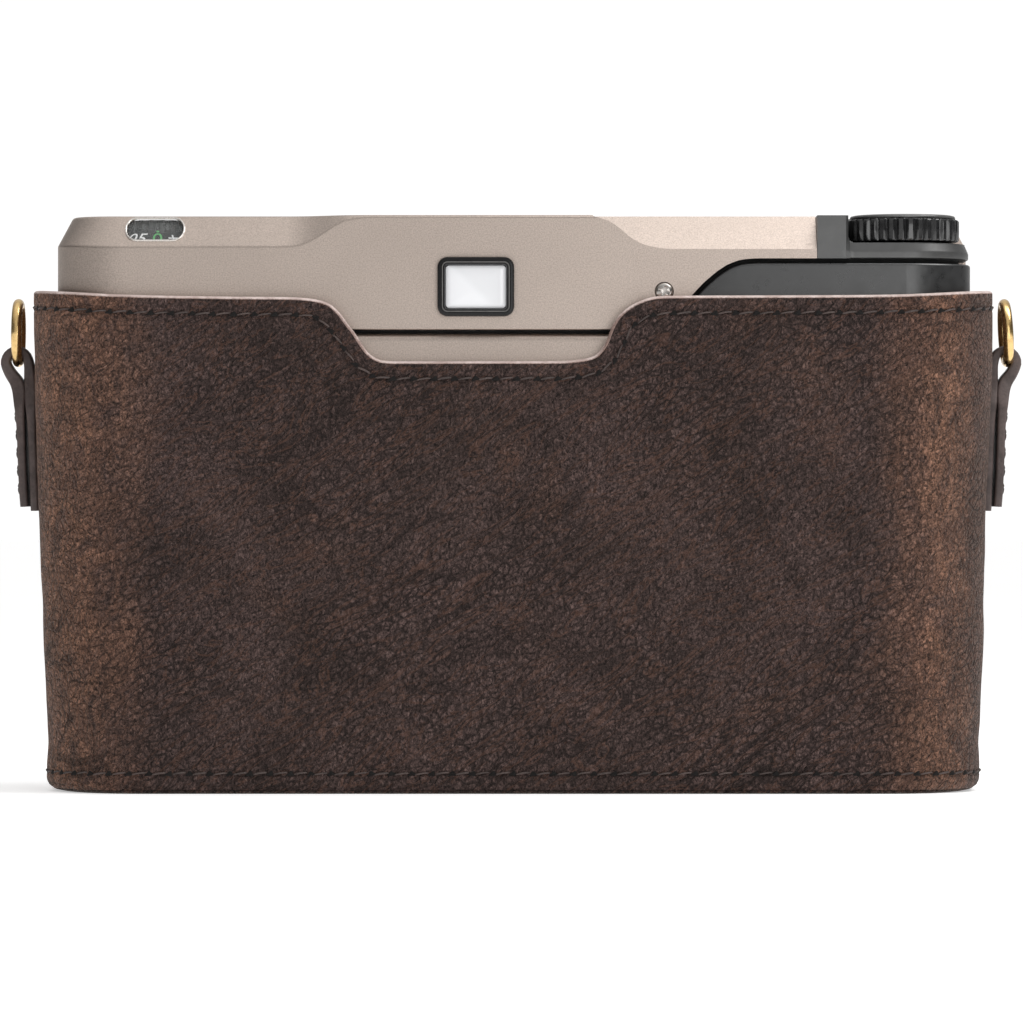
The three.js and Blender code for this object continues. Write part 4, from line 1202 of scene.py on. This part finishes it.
def strip(name, s_list, zb, zt, inset, thick, r, mats, body, nodes=(), rb=0.1, sharp=40, bulge=None):
    rings = []
    for s in s_list:
        x, y, nx, ny = rear_plan(s)
        b, t = zb(s), zt(s)
        sec = []
        for k in range(4):
            a = math.pi / 2 * k / 3
            sec.append((inset + rb * (1 - math.sin(a)), b + rb * (1 - math.cos(a))))
        h = t - b
        for q2 in (0.25, 0.5, 0.75):
            sec.append((inset, b + h * q2))
        for k in range(7):
            a = math.pi / 2 * k / 6
            sec.append((inset + r * (1 - math.cos(a)), t - r + r * math.sin(a)))
        sec.append((inset + thick, t))
        sec.append((inset + thick, b))
        rings.append([(x - nx * i, y - ny * i, z) for i, z in sec])
    v, f = loft(rings)
    o = mesh_object(name, v, f, mats, sharp=sharp)
    place(o, body, nodes)
    return o


door_s = list(np.arange(-56.4, 24.2, 2.0)) + [24.1]
door_s = [-(HX - CR) - CR * math.radians(a) for a in (80, 72, 64, 56, 48, 40, 32, 24, 16, 8)] + door_s
strip("back_door_plate", door_s, lambda s: 8.9, lambda s: 65.62, 0.0, 2.9, 1.15, [MATS["titanium"]], "camera", ["back_door"], 0.5)
# near-black strip right behind the door seam, seen only through the gap: painted shade in the seam
strip("door_seam_shade_strip", list(np.arange(-58, 24, 3.0)), lambda s: 63.9, lambda s: 68.0, 1.6, 0.9, 0.1, [MATS["seal"]], "camera", ())
panel_s = [24.4, 24.9, 25.4, 26.0, 26.6, 27.2, 27.8, 28.4, 29.0, 29.6, 30.2, 30.9, 31.6, 32.4, 33.2, 34.5, 36] + list(np.arange(38, 56.4, 2.0))
panel_s += [(HX - CR) + CR * math.radians(a) for a in range(0, 91, 6)] + [HX - CR + math.pi / 2 * CR + d for d in (2, 4, 6, 8.2)]


def panel_top(s):
    x = -s
    return groove_z(max(x, -36.0), -1) if s > 24.3 else 65


strip("thumb_panel_skin", panel_s, lambda s: 8.9, panel_top, 0.0, 1.6, 0.42, [MATS["black"]], "camera", ["thumb_panel"], 0.3)
# near-black strip behind the thumb panel's groove: painted shade in the groove
strip("panel_seam_shade_strip", panel_s, lambda s: panel_top(s) - 2.5, lambda s: panel_top(s) + 2.0, 1.65, 0.6, 0.1, [MATS["seal"]], "camera", ())

# ------------------------------------------------------------------------------------------------
# black end with the thumb dial
# ------------------------------------------------------------------------------------------------
DX, DY, DR = -56.0, 6.3, 8.13
levels = [(76.35, 0.45), (76.47, 0.28), (77.2, 0.26), (77.5, 0.36), (78.45, 0.78), (78.7, 0.82), (82.5, 0.82)]
hp = [(x, y, nx, ny) for x, y, nx, ny in PLAN]
hrings = []
for z, ins in levels:
    hrings.append([(x - nx * (ins if x < -48 else min(ins, 0.0)), y - ny * (ins if x < -48 else 0.0), z) for x, y, nx, ny in hp])
hv, hf = loft(hrings)
house = mesh_object("dial_housing_block", hv, hf, [MATS["housing"]], sharp=40)
cut(house, [box_mesh(-43.3, 90, -40, 40, 70, 90), box_mesh(-90, 90, -40, -3.0, 70, 90)])
rec = rounded_rect(-47.75 - 40, -47.75, DY - 8.6, 40, 0.01, 1)
pocket = []
for i in range(49):
    a = math.radians(-90 + 90 * i / 48 * 2)
cyl = lathe([(0, 78.62), (8.6, 78.62), (8.6, 90), (0, 90)], 96, (DX, DY))
corner = extrude_y([(-47.75, 79.5), (-47.95, 78.92), (-48.5, 78.62), (-90, 78.62), (-90, 90), (-47.75, 90)], DY, 40)
spindle_hole = lathe([(0, 76.9), (2.3, 76.9), (2.3, 79.0), (0, 79.0)], 48, (DX, DY))
cut(house, [cyl, corner, box_mesh(-90, DX - 2.0, -30, 40, 78.62, 90), spindle_hole])
soften(house, 0.22, 3, 38)
house.data.set_sharp_from_angle(angle=math.radians(40))
place(house, "camera", ["dial_housing"])

stem = lathe([(0, 77.2), (2.0, 77.2), (2.0, 79.0), (0, 79.0)], 40, (DX, DY))
knurled(DR, 0.42, 36, 78.90, 82.18, 0.32, (DX, DY), "thumb_dial_rim", [MATS["dial"]], "rear_dial", ["thumb_dial"], extra=[(stem[0], stem[1], 0)])
cv, cf = lathe([(0, 82.2), (7.3, 82.2), (7.58, 82.3), (7.58, 82.5), (7.42, 82.68), (7.0, 82.78), (6.3, 82.8), (6.2, 82.74), (0, 82.74)], 96, (DX, DY))
# near-black disc under the cap, seen only in the gap between dial and cap: painted shade
gv, gf = lathe([(0, 81.9), (6.6, 81.9), (6.6, 82.25), (0, 82.25)], 72, (DX, DY))
place(join_meshes("dial_cap_disc", [(cv, cf, 0), (gv, gf, 1)], [MATS["housing"], MATS["seal"]], 30), "rear_dial", ["dial_cap"])

# ------------------------------------------------------------------------------------------------
# eyepiece and rear screw
# ------------------------------------------------------------------------------------------------


def rect_rings(cx, cz, hw, hh, r, prof, n=8):
    rings = []
    for inset, y in prof:
        rr = max(r - inset, 0.12)
        rings.append([(x, y, z) for x, z in rounded_rect(cx - hw + inset, cx + hw - inset, cz - hh + inset, cz + hh - inset, rr, n)])
    return rings


prof = [(0.35, 13.2), (0.35, 15.25), (0.0, 15.32), (0.0, 16.05), (0.10, 16.25), (0.28, 16.34), (0.56, 16.34), (0.62, 16.26)]
v1, f1 = loft(rect_rings(EX, EZ, 5.48, 4.24, 1.45, prof), True, False)
prof2 = [(0.62, 16.26), (0.66, 16.20), (0.78, 16.20), (0.82, 16.27)]
v2, f2 = loft(rect_rings(EX, EZ, 5.48, 4.24, 1.45, prof2), False, False)
prof3 = [(0.82, 16.27), (0.90, 16.30), (1.02, 16.22), (1.16, 15.80), (1.18, 15.2)]
v3, f3 = loft(rect_rings(EX, EZ, 5.48, 4.24, 1.45, prof3), False, True)
eye = join_meshes("eyepiece_surround", [(v1, f1, 0), (v2, f2, 1), (v3, f3, 0)], [MATS["eye"], MATS["dark_steel"]], 30)
bm = bmesh.new()
bm.from_mesh(eye.data)
bmesh.ops.remove_doubles(bm, verts=bm.verts, dist=1e-7)
bmesh.ops.recalc_face_normals(bm, faces=bm.faces)
bm.to_mesh(eye.data)
bm.free()
place(eye, "camera", ["eyepiece_frame"])
# slightly crowned pane
gx, gz = 4.28, 3.04
rings = [[(x, 15.22, z) for x, z in rounded_rect(EX - gx, EX + gx, EZ - gz, EZ + gz, 0.5, 6)]]
for k, yy in ((1.0, 15.62), (0.97, 15.72), (0.8, 15.80), (0.5, 15.87), (0.2, 15.90)):
    rings.append([(EX + (x - EX) * k, yy, EZ + (z - EZ) * k) for x, z in rounded_rect(EX - gx, EX + gx, EZ - gz, EZ + gz, 0.5, 6)])
v, f = loft(rings)
place(mesh_object("eyepiece_pane", v, f, [MATS["glass"]], sharp=50), "camera", ["eyepiece_glass"])

SX, SZ = -21.45, 71.62
sv, sf = lathe([(0, 15.0), (1.27, 15.0), (1.27, 15.30), (1.21, 15.48), (1.04, 15.68), (0.75, 15.80), (0.4, 15.85), (0, 15.86)], 48, (SX, SZ), "Y")
screw = mesh_object("rear_cross_screw", sv, sf, [MATS["screw"]], sharp=40)
cross = []
for ang in (22, 112):
    a = math.radians(ang)
    L, W = 0.82, 0.21
    pts = [(-L, -W), (L, -W), (L, W), (-L, W)]
    pts = [(SX + x * math.cos(a) - z * math.sin(a), SZ + x * math.sin(a) + z * math.cos(a)) for x, z in pts]
    cross.append(extrude_y(pts, 15.22, 17))
cut(screw, cross)
soften(screw, 0.03, 1, 40)
place(screw, "camera", ["rear_screw"])
# near-black ring round the screw head, just proud of the cover: painted shade at the head's edge
wv, wf = lathe([(1.28, 15.1), (1.37, 15.1), (1.37, 15.21), (1.28, 15.21)], 48, (SX, SZ), "Y")
place(mesh_object("rear_screw_shade_ring", wv, wf, [MATS["seal"]]), "camera", ())

# ------------------------------------------------------------------------------------------------
# CAD pieces that keep their shape: softened edges and their own materials
# ------------------------------------------------------------------------------------------------
KEEP = {
    "case_pad": ("felt", 0.5), "case_screw": ("steel", 0.2), "bottom_cover": ("titanium", 0.4), "battery_cap": ("titanium", 0.2),
    "front_shell": ("titanium", 0.2), "door_latch": ("black_metal", 0.15), "pressure_plate": ("black_metal", 0.05), "comp_knob": ("black_metal", 0.15),
    "shutter_dial": ("titanium", 0.2), "power_switch": ("black_metal", 0.12), "shutter_button": ("steel", 0.25), "counter_window": ("dark_glass", 0.1),
    "finder_window": ("dark_glass", 0.1), "range_window_inner": ("dark_glass", 0.1), "range_window_outer": ("dark_glass", 0.1), "timer_lamp": ("lamp", 0.2),
    "release_button": ("black_metal", 0.2), "grip_skin": ("grip", 0.12), "lens_mount": ("steel", 0.2), "lens_barrel": ("titanium", 0.2),
    "aperture_ring": ("titanium", 0.2), "focus_ring": ("black_metal", 0.15), "lens_cell": ("black_metal", 0.2), "front_element": ("lens", 0.05),
    "rear_element": ("lens", 0.05), "iris": ("black_metal", 0.02), "chassis": ("black", 0.2), "shutter_unit": ("black_metal", 0.2), "take_up_spool": ("black", 0.2),
    "sprocket": ("steel", 0.08), "rewind_fork": ("steel", 0.1), "drive_motor": ("steel", 0.3), "battery": ("steel", 0.3), "circuit_board": ("board", 0.05),
    "finder_block": ("glass", 0.2),
}
for name, (mat, w) in KEEP.items():
    o = NODES[name]
    o.data.materials.clear()
    o.data.materials.append(MATS[mat])
    for p in o.data.polygons:
        p.use_smooth = True
        p.material_index = 0
    weld = o.modifiers.new("weld", "WELD")
    weld.merge_threshold = 0.000005
    b = o.modifiers.new("edge", "BEVEL")
    b.width = w * MM
    b.segments = 2
    b.limit_method = "ANGLE"
    b.angle_limit = math.radians(35)
    wn = o.modifiers.new("normals", "WEIGHTED_NORMAL")
    wn.keep_sharp = False

# ------------------------------------------------------------------------------------------------
# floor, light, camera
# ------------------------------------------------------------------------------------------------
floor_k = Mat("floor_white")
floor_k.put("Base Color", floor_k.mix(floor_k.ramp(floor_k.noise(3, 2), [(0.3, 0), (0.7, 1)]), (0.90, 0.90, 0.90), (0.92, 0.92, 0.92)))
floor_k.put("Roughness", 0.9)
floor_k.b.inputs["Emission Color"].default_value = (1, 1, 1, 1)
floor_k.b.inputs["Emission Strength"].default_value = 0.45
me = bpy.data.meshes.new("floor")
me.from_pydata([(-8, -8, 0), (8, -8, 0), (8, 8, 0), (-8, 8, 0)], [], [(0, 1, 2, 3)])
me.materials.append(floor_k.m)
floor = bpy.data.objects.new("floor", me)
bpy.context.scene.collection.objects.link(floor)

world = bpy.data.worlds.new("studio")
bpy.context.scene.world = world
world.use_nodes = True
wt = world.node_tree
bg = wt.nodes["Background"]
tc = wt.nodes.new("ShaderNodeTexCoord")
sep = wt.nodes.new("ShaderNodeSeparateXYZ")
wt.links.new(tc.outputs["Generated"], sep.inputs[0])


def wramp(sock, stops):
    n = wt.nodes.new("ShaderNodeValToRGB")
    n.color_ramp.interpolation = "EASE"
    while len(n.color_ramp.elements) < len(stops):
        n.color_ramp.elements.new(0.5)
    for e, (p, c) in zip(n.color_ramp.elements, stops):
        e.position, e.color = p, (c, c, c, 1)
    wt.links.new(sock, n.inputs[0])
    return n.outputs[0]


def wmath(op, a, b):
    n = wt.nodes.new("ShaderNodeMath")
    n.operation = op
    for i, v in enumerate((a, b)):
        if isinstance(v, (int, float)):
            n.inputs[i].default_value = v
        else:
            wt.links.new(v, n.inputs[i])
    return n.outputs[0]


# white behind the object, a little darker at the sides, brightest overhead
back = wramp(wmath("ADD", wmath("MULTIPLY", sep.outputs[1], -0.5), 0.5), [(0.0, 0.60), (0.035, 0.52), (0.10, 0.27), (0.21, 0.080), (0.80, 0.07), (0.92, 0.35), (1.0, 0.75)])
up = wramp(sep.outputs[2], [(0.0, 0.0), (0.30, 0.04), (0.66, 0.42), (1.0, 0.90)])
total_w = wmath("ADD", back, up)
path = wt.nodes.new("ShaderNodeLightPath")
seen = wmath("MULTIPLY", path.outputs["Is Camera Ray"], 1.05)
unseen = wmath("MULTIPLY", wmath("SUBTRACT", 1.0, path.outputs["Is Camera Ray"]), total_w)
wt.links.new(wmath("ADD", seen, unseen), bg.inputs["Strength"])
bg.inputs["Color"].default_value = (1.0, 0.995, 0.99, 1)


def area(name, loc, target, size, power, colour=(1, 1, 1), size_y=None):
    l = bpy.data.lights.new(name, "AREA")
    l.energy = power
    l.size = size
    l.color = colour
    if size_y:
        l.shape = "RECTANGLE"
        l.size_y = size_y
    o = bpy.data.objects.new(name, l)
    bpy.context.scene.collection.objects.link(o)
    o.location = loc
    d = Vector(target) - Vector(loc)
    o.rotation_euler = d.to_track_quat("-Z", "Y").to_euler()
    o.visible_camera = False
    return o


area("key_over", (-0.36, 0.05, 0.52), (-0.03, 0.0, 0.06), 0.34, 1.6, (1, 0.99, 0.98))
area("near_right", (-0.065, 0.015, 0.32), (-0.050, 0.008, 0.08), 0.11, 0.080, (1, 1, 1))
area("soft_right", (-0.15, 0.37, 0.10), (-0.05, 0.015, 0.07), 0.14, 0.17, (1, 1, 1), 0.22)

cam_data = bpy.data.cameras.new("camera_eye")
cam_data.sensor_width = 36.0
cam_data.lens = 222.65
cam_data.clip_start = 0.05
cam_data.clip_end = 60
cam = bpy.data.objects.new("camera_eye", cam_data)
bpy.context.scene.collection.objects.link(cam)
cam.location = (0.00036, 0.0184 + 0.900, 0.0402)
cam.rotation_euler = (math.radians(90), 0, math.radians(180))
bpy.context.scene.camera = cam
bpy.context.scene.view_settings.view_transform = "Standard"
